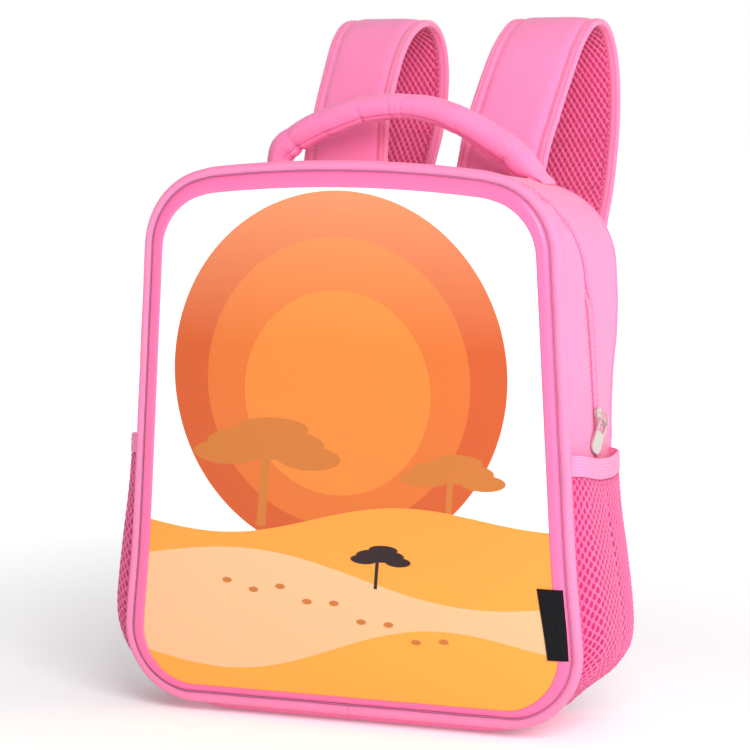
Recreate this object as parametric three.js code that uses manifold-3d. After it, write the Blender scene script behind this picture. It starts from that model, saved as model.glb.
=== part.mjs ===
// Kids backpack with a moulded front panel, padded gussets, mesh side pockets, a carry handle
// and two padded shoulder straps. Millimetres, +Z up, the front faces -Y.
import * as THREE from 'three';
import Module from 'manifold-3d';
import { mergeVertices } from 'three/addons/utils/BufferGeometryUtils.js';

const wasm = await Module();
wasm.setup();

const { lerp, clamp, degToRad } = THREE.MathUtils;

// Body
const bodyDepth = 90;
const seamTop = 310;
const seamBottom = 12;
const shoulderHalf = 121.4;
const baseHalf = 137.8;
const topRadius = 41;
const backTopRadius = 48;
const baseRadius = 36;
const floorRadius = 60;
const crownRise = 5.2;
const crownHalf = 90;
const hipSwell = 2;
const hipHeight = 48;
const hipReach = 35;
const sideSwell = 1;
const backNarrowing = 12;
const topDrop = 6;
const gussetWall = 3;
const gussetJoin = 130;
const seamGap = 0.3;

// Front panel and piping
const pipingRadius = 3;
const pipingOut = 2.7;
const pipingDepth = 0.6;
const rimSide = 7.7;
const rimTop = 9.6;
const rimBottom = 4.5;
const rimRise = 3.5;
const rimShoulder = 1.8;
const faceCrown = 2;
const panelWall = 2.6;
const flangeWall = 2.2;
const shoulderRise = 0.62;
const edgeRise = 0.1;
const hollowRing = 0.97;

// Zip
const zipWidth = 8;
const zipWall = 1.6;
const coilWidth = 5.4;
const coilRise = 0.5;
const tapeSink = 0.5;

// Slider and pull
const sliderHeight = 178.5;
const sliderLength = 10;
const sliderWidth = 7.4;
const sliderThick = 2;
const bailBar = 1.2;
const bailWidth = 1.4;
const hingeLift = 2.1;
const hingeDrop = 2;
const bailClear = 1.8;
const pullLength = 20;
const pullTopWidth = 8.2;
const pullTipWidth = 9.6;
const pullThick = 1.3;
const crossbar = 1.4;
const windowLength = 6.5;
const windowWidth = 5.8;
const pullYaw = -10;
const pullTilt = 1;
const pullSwing = 33;

// Back panel
const backThick = 8;
const backBevel = 9;

// Side pockets
const mouthHeight = 160;
const mouthSag = 5;
const bandHeight = 12;
const bandWall = 1.6;
const bandRib = 0.5;
const bandRibs = 4;
const pocketWall = 1.2;
const pocketInset = 6.9;
const pocketClear = 0.8;
const pocketReach = 0.6;
const netDrop = 1.3;

// Carry handle
const handleDepth = 75;
const handleHalf = 82;
const handleRise = 42;
const handleThick = 17;
const handleWidth = 17;
const handleSteps = 34;

// Shoulder straps
const strapWidth = 56;
const strapThick = 5;
const strapSplit = 49.5;
const strapSplay = 30;
const strapReach = 110;
const strapRise = 99;
const strapRoot = 300;
const strapFall = 150;
const strapSteps = 28;
const bindThick = 3.6;

// Strap adjusters and webbing
const webWidth = 25;
const webThick = 1.6;
const webAnchor = 24;
const webAnchorOut = 94;
const webLead = 9;
const buckleWidth = 32;
const buckleLength = 17;
const buckleThick = 4;
const buckleBar = 3.2;

// Side label
const labelBottom = 47;
const labelHeight = 39.5;
const labelTopReach = 16.5;
const labelBaseReach = 13.5;
const labelThick = 0.8;
const labelTuck = 1.5;
const labelGap = 0.4;

// Rings of the print face, as shares of the way from its middle to the rim
const FACE_RINGS = [0.3, 0.62, 0.86];

// How the body changes from the front seam to the back seam, as shares of the body sizes
const BODY_SECTIONS = [
  { depth: 0.0, swell: 0.0, narrow: 0.0, drop: 0.0, sag: 0.0 },
  { depth: 0.11, swell: 0.5, narrow: 0.0, drop: 0.08, sag: 0.88 },
  { depth: 0.2, swell: 0.75, narrow: 0.02, drop: 0.16, sag: 1.0 },
  { depth: 0.3, swell: 1.0, narrow: 0.05, drop: 0.25, sag: 1.0 },
  { depth: 0.55, swell: 1.0, narrow: 0.2, drop: 0.5, sag: 1.0 },
  { depth: 0.8, swell: 0.6, narrow: 0.6, drop: 0.8, sag: 1.0 },
  { depth: 0.92, swell: 0.3, narrow: 0.85, drop: 0.93, sag: 1.0 },
  { depth: 1.0, swell: 0.0, narrow: 1.0, drop: 1.0, sag: 0.4 },
];

// How much of the back narrowing each height gets
const NARROW_HEIGHTS = [
  { height: 0.0, share: 1.0 },
  { height: 0.25, share: 0.95 },
  { height: 0.52, share: 0.7 },
  { height: 0.64, share: 0.46 },
  { height: 0.73, share: 0.12 },
  { height: 0.8, share: 0.0 },
  { height: 1.1, share: 0.0 },
];

// Course of the zip: height as a share of the seam top, depth as a share of the body depth
const ZIP_COURSE = [
  { height: 0.3, depth: 0.57 },
  { height: 0.42, depth: 0.56 },
  { height: 0.62, depth: 0.53 },
  { height: 0.78, depth: 0.475 },
  { height: 0.86, depth: 0.43 },
  { height: 0.9, depth: 0.35 },
  { height: 0.93, depth: 0.28 },
  { height: 0.96, depth: 0.22 },
  { height: 1.0, depth: 0.165 },
  { height: 1.1, depth: 0.165 },
];

// Side pockets: how far the net stands out where it is fullest, at the mouth as a share, and
// how strongly it tucks in towards its base
const POCKETS = {
  left: { side: -1, bulge: 17, mouth: 0.73, tuck: 1 },
  right: { side: 1, bulge: 12.5, mouth: 0.56, tuck: 3.5 },
};

// How a pocket fills below its mouth and closes at its base, and its form along its depth
const POCKET_DOWN = [
  { down: 0.0, fill: 0.0, open: 1.0 },
  { down: 0.12, fill: 0.35, open: 1.0 },
  { down: 0.25, fill: 0.8, open: 1.0 },
  { down: 0.38, fill: 1.0, open: 1.0 },
  { down: 0.55, fill: 1.0, open: 1.0 },
  { down: 0.68, fill: 1.0, open: 0.9 },
  { down: 0.82, fill: 1.0, open: 0.62 },
  { down: 0.92, fill: 1.0, open: 0.3 },
  { down: 1.0, fill: 1.0, open: 0.0 },
];
const POCKET_ALONG = [
  { along: 0.0, out: 0.0, sag: 0.0 },
  { along: 0.035, out: 0.55, sag: 0.05 },
  { along: 0.085, out: 0.86, sag: 0.2 },
  { along: 0.18, out: 0.97, sag: 0.5 },
  { along: 0.34, out: 1.0, sag: 0.85 },
  { along: 0.56, out: 0.97, sag: 1.0 },
  { along: 0.76, out: 1.0, sag: 0.8 },
  { along: 0.9, out: 0.88, sag: 0.6 },
  { along: 0.96, out: 0.58, sag: 0.55 },
  { along: 1.0, out: 0.0, sag: 0.5 },
];

// Carry handle from its left end to its right, as shares of the half span, the rise and the
// thickness
const HANDLE_ARCH = [
  { out: -1, up: 0, thick: 1.12 },
  { out: -0.94, up: 0.36, thick: 1.04 },
  { out: -0.83, up: 0.53, thick: 1 },
  { out: -0.67, up: 0.7, thick: 1 },
  { out: -0.52, up: 0.81, thick: 0.98 },
  { out: -0.39, up: 0.9, thick: 0.95 },
  { out: -0.21, up: 0.97, thick: 0.9 },
  { out: 0, up: 1, thick: 0.86 },
  { out: 0.21, up: 0.955, thick: 0.9 },
  { out: 0.39, up: 0.85, thick: 0.96 },
  { out: 0.52, up: 0.74, thick: 1 },
  { out: 0.66, up: 0.585, thick: 1.03 },
  { out: 0.82, up: 0.39, thick: 1.05 },
  { out: 0.93, up: 0.21, thick: 1.08 },
  { out: 1, up: 0, thick: 1.12 },
];

// Creases round the handle: place from the left end, and how far each pinches the tube
const HANDLE_CREASES = [
  { along: 0.06, pinch: 0.1 },
  { along: 0.155, pinch: 0.14 },
  { along: 0.34, pinch: 0.12 },
  { along: 0.48, pinch: 0.1 },
  { along: 0.95, pinch: 0.1 },
];
const creaseReach = 0.022;

// Loops of the shoulder straps: shares of the reach behind the back panel, of the rise above
// and the fall below the strap root, and of the splay
const LOOPS = {
  left: [
    { back: 0, up: 0, down: 0.013, out: 0 },
    { back: 0.004, up: 0.08, down: 0, out: 0 },
    { back: 0.03, up: 0.22, down: 0, out: 0.02 },
    { back: 0.1, up: 0.425, down: 0, out: 0.04 },
    { back: 0.2, up: 0.606, down: 0, out: 0.07 },
    { back: 0.33, up: 0.8, down: 0, out: 0.1 },
    { back: 0.447, up: 0.914, down: 0, out: 0.13 },
    { back: 0.565, up: 0.98, down: 0, out: 0.15 },
    { back: 0.7, up: 1, down: 0, out: 0.17 },
    { back: 0.81, up: 0.965, down: 0, out: 0.19 },
    { back: 0.9, up: 0.87, down: 0, out: 0.2 },
    { back: 0.945, up: 0.717, down: 0, out: 0.21 },
    { back: 0.94, up: 0.545, down: 0, out: 0.22 },
    { back: 0.885, up: 0.343, down: 0, out: 0.23 },
    { back: 0.78, up: 0.13, down: 0, out: 0.25 },
    { back: 0.64, up: 0, down: 0.08, out: 0.28 },
    { back: 0.52, up: 0, down: 0.28, out: 0.37 },
    { back: 0.41, up: 0, down: 0.52, out: 0.55 },
    { back: 0.3, up: 0, down: 0.787, out: 0.8 },
    { back: 0.23, up: 0, down: 1, out: 1 },
  ],
  right: [
    { back: 0, up: 0, down: 0.013, out: 0 },
    { back: 0.005, up: 0.07, down: 0, out: 0 },
    { back: 0.04, up: 0.18, down: 0, out: 0.02 },
    { back: 0.097, up: 0.313, down: 0, out: 0.03 },
    { back: 0.184, up: 0.465, down: 0, out: 0.06 },
    { back: 0.293, up: 0.636, down: 0, out: 0.09 },
    { back: 0.375, up: 0.753, down: 0, out: 0.11 },
    { back: 0.455, up: 0.848, down: 0, out: 0.12 },
    { back: 0.555, up: 0.934, down: 0, out: 0.13 },
    { back: 0.655, up: 0.99, down: 0, out: 0.14 },
    { back: 0.76, up: 1.005, down: 0, out: 0.15 },
    { back: 0.855, up: 0.97, down: 0, out: 0.16 },
    { back: 0.93, up: 0.875, down: 0, out: 0.17 },
    { back: 0.97, up: 0.737, down: 0, out: 0.19 },
    { back: 0.985, up: 0.586, down: 0, out: 0.2 },
    { back: 0.973, up: 0.384, down: 0, out: 0.21 },
    { back: 0.93, up: 0.182, down: 0, out: 0.22 },
    { back: 0.86, up: 0, down: 0.013, out: 0.24 },
    { back: 0.735, up: 0, down: 0.147, out: 0.29 },
    { back: 0.615, up: 0, down: 0.32, out: 0.4 },
    { back: 0.515, up: 0, down: 0.547, out: 0.57 },
    { back: 0.43, up: 0, down: 0.787, out: 0.8 },
    { back: 0.32, up: 0, down: 0.987, out: 1 },
  ],
};

// How far each strap is turned, its outer edge to the back, and where along it
const strapTurn = { left: 12, right: 6 };
const STRAP_TURNS = [
  { along: 0.0, turn: 0.0 },
  { along: 0.06, turn: 0.3 },
  { along: 0.12, turn: 1.0 },
  { along: 0.2, turn: 1.0 },
  { along: 0.3, turn: 0.3 },
  { along: 0.38, turn: 0.0 },
  { along: 1.0, turn: 0.0 },
];

// Course of the webbing from the adjuster down to its anchor, as shares of the way
const WEBBING = [
  { down: 0.0, back: 1.0 },
  { down: 0.3, back: 0.66 },
  { down: 0.6, back: 0.33 },
  { down: 0.82, back: 0.09 },
  { down: 0.9, back: 0.0 },
  { down: 1.0, back: 0.0 },
];

// Cross-section of a strap, from one edge to the other: shares of the half width, and whether
// the point lies on the padding, on the stitched line or on the edge binding
const STRAP_SECTION = [
  { across: -1.0, part: 'edge' },
  { across: -0.96, part: 'bind' },
  { across: -0.78, part: 'stitch' },
  { across: -0.68, part: 'pad' },
  { across: 0.0, part: 'pad' },
  { across: 0.68, part: 'pad' },
  { across: 0.78, part: 'stitch' },
  { across: 0.96, part: 'bind' },
  { across: 1.0, part: 'edge' },
];

// Number of steps round one half of the outline
const TOP_STEPS = 4;
const CORNER_STEPS = 6;
const SIDE_STEPS = 3;
const FLANK_STEPS = 2;
const BASE_CORNER_STEPS = 5;
const BASE_STEPS = 3;
const PIPING_SIDES = 8;
const HANDLE_SIDES = 10;
const joinIndex = TOP_STEPS + CORNER_STEPS + SIDE_STEPS;
const lastIndex = joinIndex + FLANK_STEPS + BASE_CORNER_STEPS + BASE_STEPS;
const pocketBottomIndex = joinIndex + FLANK_STEPS + Math.round(BASE_CORNER_STEPS * pocketReach);

// Materials
function fabric(color, roughness = 0.85) {
  return new THREE.MeshStandardMaterial({ color, roughness, metalness: 0 });
}
const pinkFabric = fabric(0xff9fcb);
const pinkPiping = fabric(0xf78fbb, 0.6);
const pinkMesh = fabric(0xf0679c);
const pinkWebbing = fabric(0xf98bbb, 0.75);
const pinkPlastic = fabric(0xe8709f, 0.4);
const whitePanel = fabric(0xfafafa, 0.35);
const blackLabel = fabric(0x16161a, 0.7);
const zipMetal = new THREE.MeshStandardMaterial({ color: 0xa8a090, roughness: 0.35, metalness: 0.9 });

// Reads a table whose rows are sorted by one column, between its rows
function readTable(rows, key, at, column) {
  const next = rows.findIndex((row) => row[key] >= at);
  if (next <= 0) {
    return rows[next === 0 ? 0 : rows.length - 1][column];
  }
  const before = rows[next - 1];
  const after = rows[next];
  return lerp(before[column], after[column], (at - before[key]) / (after[key] - before[key]));
}

// Half width of the body's side at a height, before the corners are rounded
function sideHalf(z, grow) {
  return lerp(baseHalf, shoulderHalf, (z - seamBottom) / (seamTop - seamBottom)) + grow;
}

// Outline from the top centre round one side to the bottom centre
function halfOutline({ grow, top, bottom, topR, baseR, narrow = 0, swell = 0, drop = 0 }) {
  const lean = Math.atan((baseHalf - shoulderHalf) / (seamTop - seamBottom));
  const topZ = top - topR;
  const topX = sideHalf(topZ, grow) - topR / Math.cos(lean);
  const baseZ = bottom + baseR;
  const baseX = sideHalf(baseZ, grow) - baseR / Math.cos(lean);
  const points = [];
  for (let i = 0; i < TOP_STEPS; i += 1) {
    points.push([topX * i / TOP_STEPS, top]);
  }
  for (let i = 0; i <= CORNER_STEPS; i += 1) {
    const a = lerp(Math.PI / 2, lean, i / CORNER_STEPS);
    points.push([topX + topR * Math.cos(a), topZ + topR * Math.sin(a)]);
  }
  const sideTop = topZ + topR * Math.sin(lean);
  const sideBottom = baseZ + baseR * Math.sin(lean);
  for (let i = 1; i <= SIDE_STEPS; i += 1) {
    const z = lerp(sideTop, gussetJoin, i / SIDE_STEPS);
    points.push([sideHalf(z, grow), z]);
  }
  for (let i = 1; i < FLANK_STEPS; i += 1) {
    const z = lerp(gussetJoin, sideBottom, i / FLANK_STEPS);
    points.push([sideHalf(z, grow), z]);
  }
  for (let i = 0; i <= BASE_CORNER_STEPS; i += 1) {
    const a = lerp(lean, -Math.PI / 2, i / BASE_CORNER_STEPS);
    points.push([baseX + baseR * Math.cos(a), baseZ + baseR * Math.sin(a)]);
  }
  for (let i = 1; i <= BASE_STEPS; i += 1) {
    points.push([baseX * (1 - i / BASE_STEPS), bottom]);
  }
  return points.map(([x, z]) => shapeSide(x, z, narrow, swell, drop));
}

// Adds the crown, the hips, the swell of the sides and the narrowing and drop of the back
function shapeSide(x, z, narrow, swell, drop) {
  const mid = (seamTop + seamBottom) / 2;
  const upper = clamp((z - mid) / (seamTop - mid), 0, 1);
  const crown = z > mid ? crownRise * Math.max(0, 1 - (x / crownHalf) ** 2) : 0;
  const hip = hipSwell * Math.exp(-(((z - hipHeight) / hipReach) ** 2));
  const narrowing = backNarrowing * narrow * readTable(NARROW_HEIGHTS, 'height', z / seamTop, 'share');
  const wider = (hip + sideSwell * swell - narrowing) / baseHalf;
  return new THREE.Vector2(x * (1 + wider), z + crown - topDrop * drop * upper ** 2);
}

// Outline of the gusset's outer face at a depth behind the front seam
const outlines = new Map();
function gussetOutline(y) {
  if (!outlines.has(y)) {
    const share = y / bodyDepth;
    const [swell, narrow, drop, sag] = ['swell', 'narrow', 'drop', 'sag']
      .map((column) => readTable(BODY_SECTIONS, 'depth', share, column));
    outlines.set(y, halfOutline({
      grow: pipingOut,
      top: seamTop + pipingOut,
      bottom: (seamBottom - pipingOut) * (1 - sag),
      topR: lerp(topRadius, backTopRadius, drop) + pipingOut,
      baseR: lerp(baseRadius, floorRadius, sag) + pipingOut,
      narrow,
      swell,
      drop,
    }));
  }
  return outlines.get(y);
}

// Point on an outline at a fractional index, a negative index being the left side, lifted
// along the outline's own normal
function outlinePoint(half, index, y, lift = 0) {
  const side = index < 0 ? -1 : 1;
  const at = Math.abs(index);
  const low = Math.min(Math.floor(at), half.length - 2);
  const spot = half[low].clone().lerp(half[low + 1], at - low);
  const before = at < 1e-9 ? new THREE.Vector2(-half[1].x, half[1].y) : half[Math.ceil(at) - 1];
  const beyond = Math.floor(at) + 1;
  const end = half[half.length - 2];
  const after = beyond < half.length ? half[beyond] : new THREE.Vector2(-end.x, end.y);
  const along = after.clone().sub(before).normalize();
  return new THREE.Vector3(side * (spot.x - along.y * lift), y, spot.y + along.x * lift);
}

function skin(index, y, lift = 0) {
  return outlinePoint(gussetOutline(y), index, y, lift);
}

// Index of the point of the front outline's side at a height
function indexAtHeight(z) {
  const half = gussetOutline(0);
  for (let i = TOP_STEPS + 1; i < half.length - 1; i += 1) {
    if (half[i].y <= z) {
      return i - 1 + (half[i - 1].y - z) / (half[i - 1].y - half[i].y);
    }
  }
  return half.length - 1;
}

// Depth of the zip's centre line at an outline index
function zipDepth(index) {
  const at = Math.abs(index);
  const half = gussetOutline(0);
  const low = Math.min(Math.floor(at), half.length - 2);
  const z = at <= TOP_STEPS ? seamTop : lerp(half[low].y, half[low + 1].y, at - low);
  return bodyDepth * readTable(ZIP_COURSE, 'height', z / seamTop, 'depth');
}

// Closed body from points and triangles, with its faces turned outwards
function closedBody(points, faces) {
  const flat = points.flatMap((p) => [p.x, p.y, p.z]);
  const volume = faces.reduce((sum, [a, b, c]) => {
    return sum + points[a].dot(new THREE.Vector3().crossVectors(points[b], points[c])) / 6;
  }, 0);
  const turned = volume > 0 ? faces : faces.map(([a, b, c]) => [a, c, b]);
  const geometry = new THREE.BufferGeometry();
  geometry.setAttribute('position', new THREE.Float32BufferAttribute(flat, 3));
  geometry.setIndex(turned.flat());
  geometry.computeVertexNormals();
  return geometry;
}

// Triangles between two neighbouring loops of the same number of points
function band(faces, first, second, count) {
  for (let i = 0; i < count; i += 1) {
    const j = (i + 1) % count;
    faces.push([first + i, first + j, second + j]);
    faces.push([first + i, second + j, second + i]);
  }
}

// Body swept through loops of points. Its ends meet, or are closed by a fan round the middle
// of a full section or by strips across a thin wall.
function sweep(loops, ends) {
  const count = loops[0].length;
  const points = loops.flat();
  const faces = [];
  for (let i = 1; i < loops.length; i += 1) {
    band(faces, (i - 1) * count, i * count, count);
  }
  const last = (loops.length - 1) * count;
  if (ends === 'meet') {
    band(faces, last, 0, count);
  } else if (ends === 'fan') {
    addFan(points, faces, 0, count, false);
    addFan(points, faces, last, count, true);
  } else {
    addStrips(faces, 0, count, false);
    addStrips(faces, last, count, true);
  }
  return closedBody(points, faces);
}

function addFan(points, faces, start, count, turned) {
  const centre = new THREE.Vector3();
  for (let i = 0; i < count; i += 1) {
    centre.addScaledVector(points[start + i], 1 / count);
  }
  points.push(centre);
  const middle = points.length - 1;
  for (let i = 0; i < count; i += 1) {
    const a = start + i;
    const b = start + (i + 1) % count;
    faces.push(turned ? [middle, a, b] : [middle, b, a]);
  }
}

function addStrips(faces, start, count, turned) {
  for (let i = 0; i < count / 2 - 1; i += 1) {
    const a = start + i;
    const b = start + i + 1;
    const c = start + count - 2 - i;
    const d = start + count - 1 - i;
    faces.push(turned ? [a, b, c] : [a, c, b]);
    faces.push(turned ? [a, c, d] : [a, d, c]);
  }
}

// Wall through sections that each hold an outer and an inner line of points
function wall(sections, ends = 'strips') {
  return sweep(sections.map(({ outer, inner }) => [...outer, ...inner.slice().reverse()]), ends);
}

// Normal of a grid of points at one of them
function gridNormal(grid, i, j) {
  const row = grid[i];
  const ahead = grid[Math.min(i + 1, grid.length - 1)][j];
  const along = ahead.clone().sub(grid[Math.max(i - 1, 0)][j]);
  const across = row[Math.min(j + 1, row.length - 1)].clone().sub(row[Math.max(j - 1, 0)]);
  return along.cross(across).normalize();
}

// Wall of even thickness on the side of a grid of points that its middle shows to be outward
function thicken(grid, thickness, outward) {
  const centre = gridNormal(grid, Math.floor(grid.length / 2), Math.floor(grid[0].length / 2));
  const step = centre.dot(outward) < 0 ? -thickness : thickness;
  return wall(grid.map((row, i) => ({
    outer: row,
    inner: row.map((point, j) => point.clone().addScaledVector(gridNormal(grid, i, j), step)),
  })));
}

const range = (count, from, to) => Array.from({ length: count + 1 }, (_, i) => lerp(from, to, i / count));
const fullIndices = [
  ...range(lastIndex, 0, lastIndex),
  ...range(lastIndex - 2, -(lastIndex - 1), -1),
];
const archIndices = range(2 * joinIndex, -joinIndex, joinIndex);

const backpack = new THREE.Group();
function add(name, geometry, material, parent = backpack) {
  const mesh = new THREE.Mesh(geometry, material);
  mesh.name = name;
  parent.add(mesh);
  return mesh;
}

// Outline of the front panel, drawn in from the front seam
function panelOutline(side, top, bottom) {
  return halfOutline({
    grow: -side,
    top: seamTop - top,
    bottom: seamBottom + bottom,
    topR: topRadius - Math.min(side, top),
    baseR: baseRadius - Math.min(side, bottom),
  });
}

const panelEdge = pipingRadius - pipingOut + seamGap;
const rimOutline = panelOutline(rimSide, rimTop, rimBottom);
const facePole = new THREE.Vector2(0, (seamTop + seamBottom) / 2);

// Height of the print face in front of the seam plane, by its share of the way to the rim
function faceRise(share) {
  return rimRise + faceCrown * (1 - share ** 4);
}

function frontPanel() {
  const edge = panelOutline(panelEdge, panelEdge, panelEdge);
  const shoulder = panelOutline(rimShoulder, rimShoulder, rimShoulder);
  const flange = panelOutline(rimShoulder + flangeWall, rimShoulder + flangeWall, rimBottom);
  const loop = (half, y) => fullIndices.map((index) => outlinePoint(half, index, y));
  const shrunk = (share) => rimOutline.map((point) => facePole.clone().lerp(point, share));
  const loops = [
    ...FACE_RINGS.map((share) => loop(shrunk(share), -faceRise(share))),
    loop(rimOutline, -rimRise),
    loop(shoulder, -rimRise * shoulderRise),
    loop(edge, -rimRise * edgeRise),
    loop(edge, flangeWall),
    loop(flange, flangeWall),
    loop(shrunk(hollowRing), panelWall - rimRise),
    loop(shrunk(FACE_RINGS[1]), panelWall - faceRise(FACE_RINGS[1])),
  ];
  const count = fullIndices.length;
  const points = loops.flat();
  const faces = [];
  for (let i = 1; i < loops.length; i += 1) {
    band(faces, (i - 1) * count, i * count, count);
  }
  addFan(points, faces, 0, count, false);
  addFan(points, faces, (loops.length - 1) * count, count, true);
  return closedBody(points, faces);
}
add('front_panel', frontPanel(), whitePanel);

// Round piping in the front seam
function frontPiping() {
  const half = gussetOutline(0);
  const loops = fullIndices.map((index) => {
    return range(PIPING_SIDES - 1, 0, (PIPING_SIDES - 1) / PIPING_SIDES).map((turn) => {
      const a = turn * 2 * Math.PI;
      const lift = pipingRadius * Math.cos(a);
      return outlinePoint(half, index, pipingDepth + pipingRadius * Math.sin(a), lift);
    });
  });
  return sweep(loops, 'meet');
}
add('front_piping', frontPiping(), pinkPiping);

const gussetFront = pipingDepth + pipingRadius + seamGap;
const gussetBack = bodyDepth - seamGap;
const zipEdge = zipWidth / 2 + seamGap;

// Gusset strip over a run of outline indices, between two edges that may follow the zip
function gussetStrip(indices, depths) {
  return wall(indices.map((index) => {
    const row = depths(index);
    return {
      outer: row.map((y) => skin(index, y)),
      inner: row.map((y) => skin(index, y, -gussetWall)),
    };
  }));
}

const frontDepths = (index) => range(2, gussetFront, zipDepth(index) - zipEdge);
const backDepths = (index) => range(4, zipDepth(index) + zipEdge, gussetBack);
add('front_gusset', gussetStrip(archIndices, frontDepths), pinkFabric);
add('back_gusset', gussetStrip(archIndices, backDepths), pinkFabric);

// Zip: a sunk tape with the coil standing along its middle
function zipper() {
  const profile = [
    { across: -zipWidth / 2, lift: -tapeSink },
    { across: -coilWidth / 2, lift: -tapeSink },
    { across: 0, lift: coilRise },
    { across: coilWidth / 2, lift: -tapeSink },
    { across: zipWidth / 2, lift: -tapeSink },
  ];
  return wall(archIndices.map((index) => {
    const y = zipDepth(index);
    return {
      outer: profile.map(({ across, lift }) => skin(index, y + across, lift)),
      inner: profile.map(({ across }) => skin(index, y + across, -tapeSink - zipWall)),
    };
  }));
}
add('zipper', zipper(), pinkWebbing);

// Base strip from one join round the base to the other join, flat where it meets the floor
function baseGusset() {
  const half = gussetOutline(0);
  const step = seamGap / half[joinIndex].distanceTo(half[joinIndex + 1]);
  const right = [joinIndex + step, ...range(lastIndex - joinIndex - 1, joinIndex + 1, lastIndex)];
  const left = right.slice(0, -1).reverse().map((index) => -index);
  const inside = BODY_SECTIONS.slice(1, -1).map((row) => row.depth * bodyDepth);
  const depths = [gussetFront, ...inside, gussetBack];
  return gussetStrip([...right, ...left], () => depths);
}
add('base_gusset', baseGusset(), pinkFabric);

// Padded back: flat against the body, with a rounded edge and a gently crowned face
function backPanel() {
  const half = gussetOutline(bodyDepth);
  const pole = new THREE.Vector2(0, (seamTop + seamBottom) / 2);
  const loop = (inset, y) => fullIndices.map((index) => outlinePoint(half, index, y, -inset));
  const shrunk = (share, y) => {
    return fullIndices.map((index) => {
      const edge = outlinePoint(half, index, y, -backBevel);
      return new THREE.Vector3(lerp(pole.x, edge.x, share), y, lerp(pole.y, edge.z, share));
    });
  };
  const near = bodyDepth + seamGap;
  const far = bodyDepth + backThick;
  const loops = [
    loop(backBevel, near),
    loop(0, near),
    loop(backBevel * 0.12, lerp(near, far, 0.45)),
    loop(backBevel * 0.45, lerp(near, far, 0.85)),
    loop(backBevel, far),
    shrunk(0.5, far),
  ];
  const count = fullIndices.length;
  const points = loops.flat();
  const faces = [];
  for (let i = 1; i < loops.length; i += 1) {
    band(faces, (i - 1) * count, i * count, count);
  }
  addFan(points, faces, 0, count, false);
  addFan(points, faces, (loops.length - 1) * count, count, true);
  return closedBody(points, faces);
}
add('back_panel', backPanel(), pinkMesh);

const pocketFront = gussetFront + pocketInset;
const pocketBack = gussetBack - pocketInset;
const pocketAlong = POCKET_ALONG.map((row) => row.along);

// Mouth height, drawn down where the elastic band sags
function mouthAt(along) {
  return mouthHeight - mouthSag * readTable(POCKET_ALONG, 'along', along, 'sag');
}

// How far a pocket stands out at its share of the depth and of the way down
function pocketOut({ bulge, mouth, tuck }, along, down) {
  const fill = readTable(POCKET_DOWN, 'down', down, 'fill');
  const open = readTable(POCKET_DOWN, 'down', down, 'open') ** tuck;
  return bulge * lerp(mouth, 1, fill) * open * readTable(POCKET_ALONG, 'along', along, 'out');
}

function sidePocket(pocket) {
  const rows = range(2 * (pocketBottomIndex - joinIndex), joinIndex, pocketBottomIndex);
  const grid = pocketAlong.map((along) => {
    const y = lerp(pocketFront, pocketBack, along);
    const top = indexAtHeight(mouthAt(along) - bandHeight - netDrop);
    return [top, ...rows].map((index) => {
      const down = (index - top) / (pocketBottomIndex - top);
      return skin(pocket.side * index, y, pocketClear + pocketOut(pocket, along, down));
    });
  });
  return thicken(grid, pocketWall, new THREE.Vector3(pocket.side, 0, 0));
}

// Ribbed elastic band along the pocket's mouth
function pocketBand(pocket) {
  const rows = range(2 * bandRibs, 0, 1);
  const grid = pocketAlong.map((along) => {
    const y = lerp(pocketFront, pocketBack, along);
    const out = pocketOut(pocket, along, 0);
    return rows.map((down, i) => {
      const z = mouthAt(along) - bandHeight * down;
      const rib = i % 2 === 0 ? 0 : bandRib;
      return skin(pocket.side * indexAtHeight(z), y, pocketClear + out + rib);
    });
  });
  return thicken(grid, bandWall, new THREE.Vector3(pocket.side, 0, 0));
}

for (const [name, pocket] of Object.entries(POCKETS)) {
  add(`side_pocket_${name}`, sidePocket(pocket), pinkMesh);
  add(`pocket_band_${name}`, pocketBand(pocket), pinkWebbing);
}

// Height of the gusset's top face under a point
function topHeight(x, y) {
  const half = gussetOutline(clamp(y, 0, bodyDepth));
  const at = Math.abs(x);
  const next = half.findIndex((point) => point.x > at);
  const before = half[next - 1];
  const after = half[next];
  return lerp(before.y, after.y, (at - before.x) / (after.x - before.x));
}

// Rolled handle, whose ends rest on the back gusset
function carryHandle() {
  const foot = topHeight(handleHalf, handleDepth);
  const path = new THREE.CatmullRomCurve3(HANDLE_ARCH.map(({ out, up }) => {
    return new THREE.Vector3(handleHalf * out, handleDepth, foot + handleRise * up);
  }));
  const loops = range(handleSteps, 0, 1).map((along) => {
    const centre = path.getPointAt(along);
    const tangent = path.getTangentAt(along);
    const up = new THREE.Vector3(-tangent.z, 0, tangent.x);
    const thick = readTable(HANDLE_ARCH, 'out', centre.x / handleHalf, 'thick');
    const pinch = HANDLE_CREASES.reduce((sum, crease) => {
      return sum + crease.pinch * Math.exp(-(((along - crease.along) / creaseReach) ** 2));
    }, 0);
    const share = thick * (1 - pinch);
    return range(HANDLE_SIDES - 1, 0, (HANDLE_SIDES - 1) / HANDLE_SIDES).map((turn) => {
      const a = turn * 2 * Math.PI;
      const point = centre.clone().addScaledVector(up, Math.cos(a) * handleThick / 2 * share);
      point.y += Math.sin(a) * handleWidth / 2 * share;
      point.z = Math.max(point.z, topHeight(point.x, point.y) + seamGap);
      return point;
    });
  });
  return sweep(loops, 'fan');
}
add('carry_handle', carryHandle(), pinkFabric);

const backFace = bodyDepth + backThick;

// Centre line of a strap from its root on the back panel over the top and down
function strapPath(name, side) {
  const points = LOOPS[name].map(({ back, up, down, out }) => new THREE.Vector3(
    side * (strapSplit + strapSplay * out),
    backFace + seamGap + strapThick / 2 + strapReach * back,
    strapRoot + strapRise * up - strapFall * down,
  ));
  return new THREE.CatmullRomCurve3(points, false, 'centripetal');
}

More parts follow.
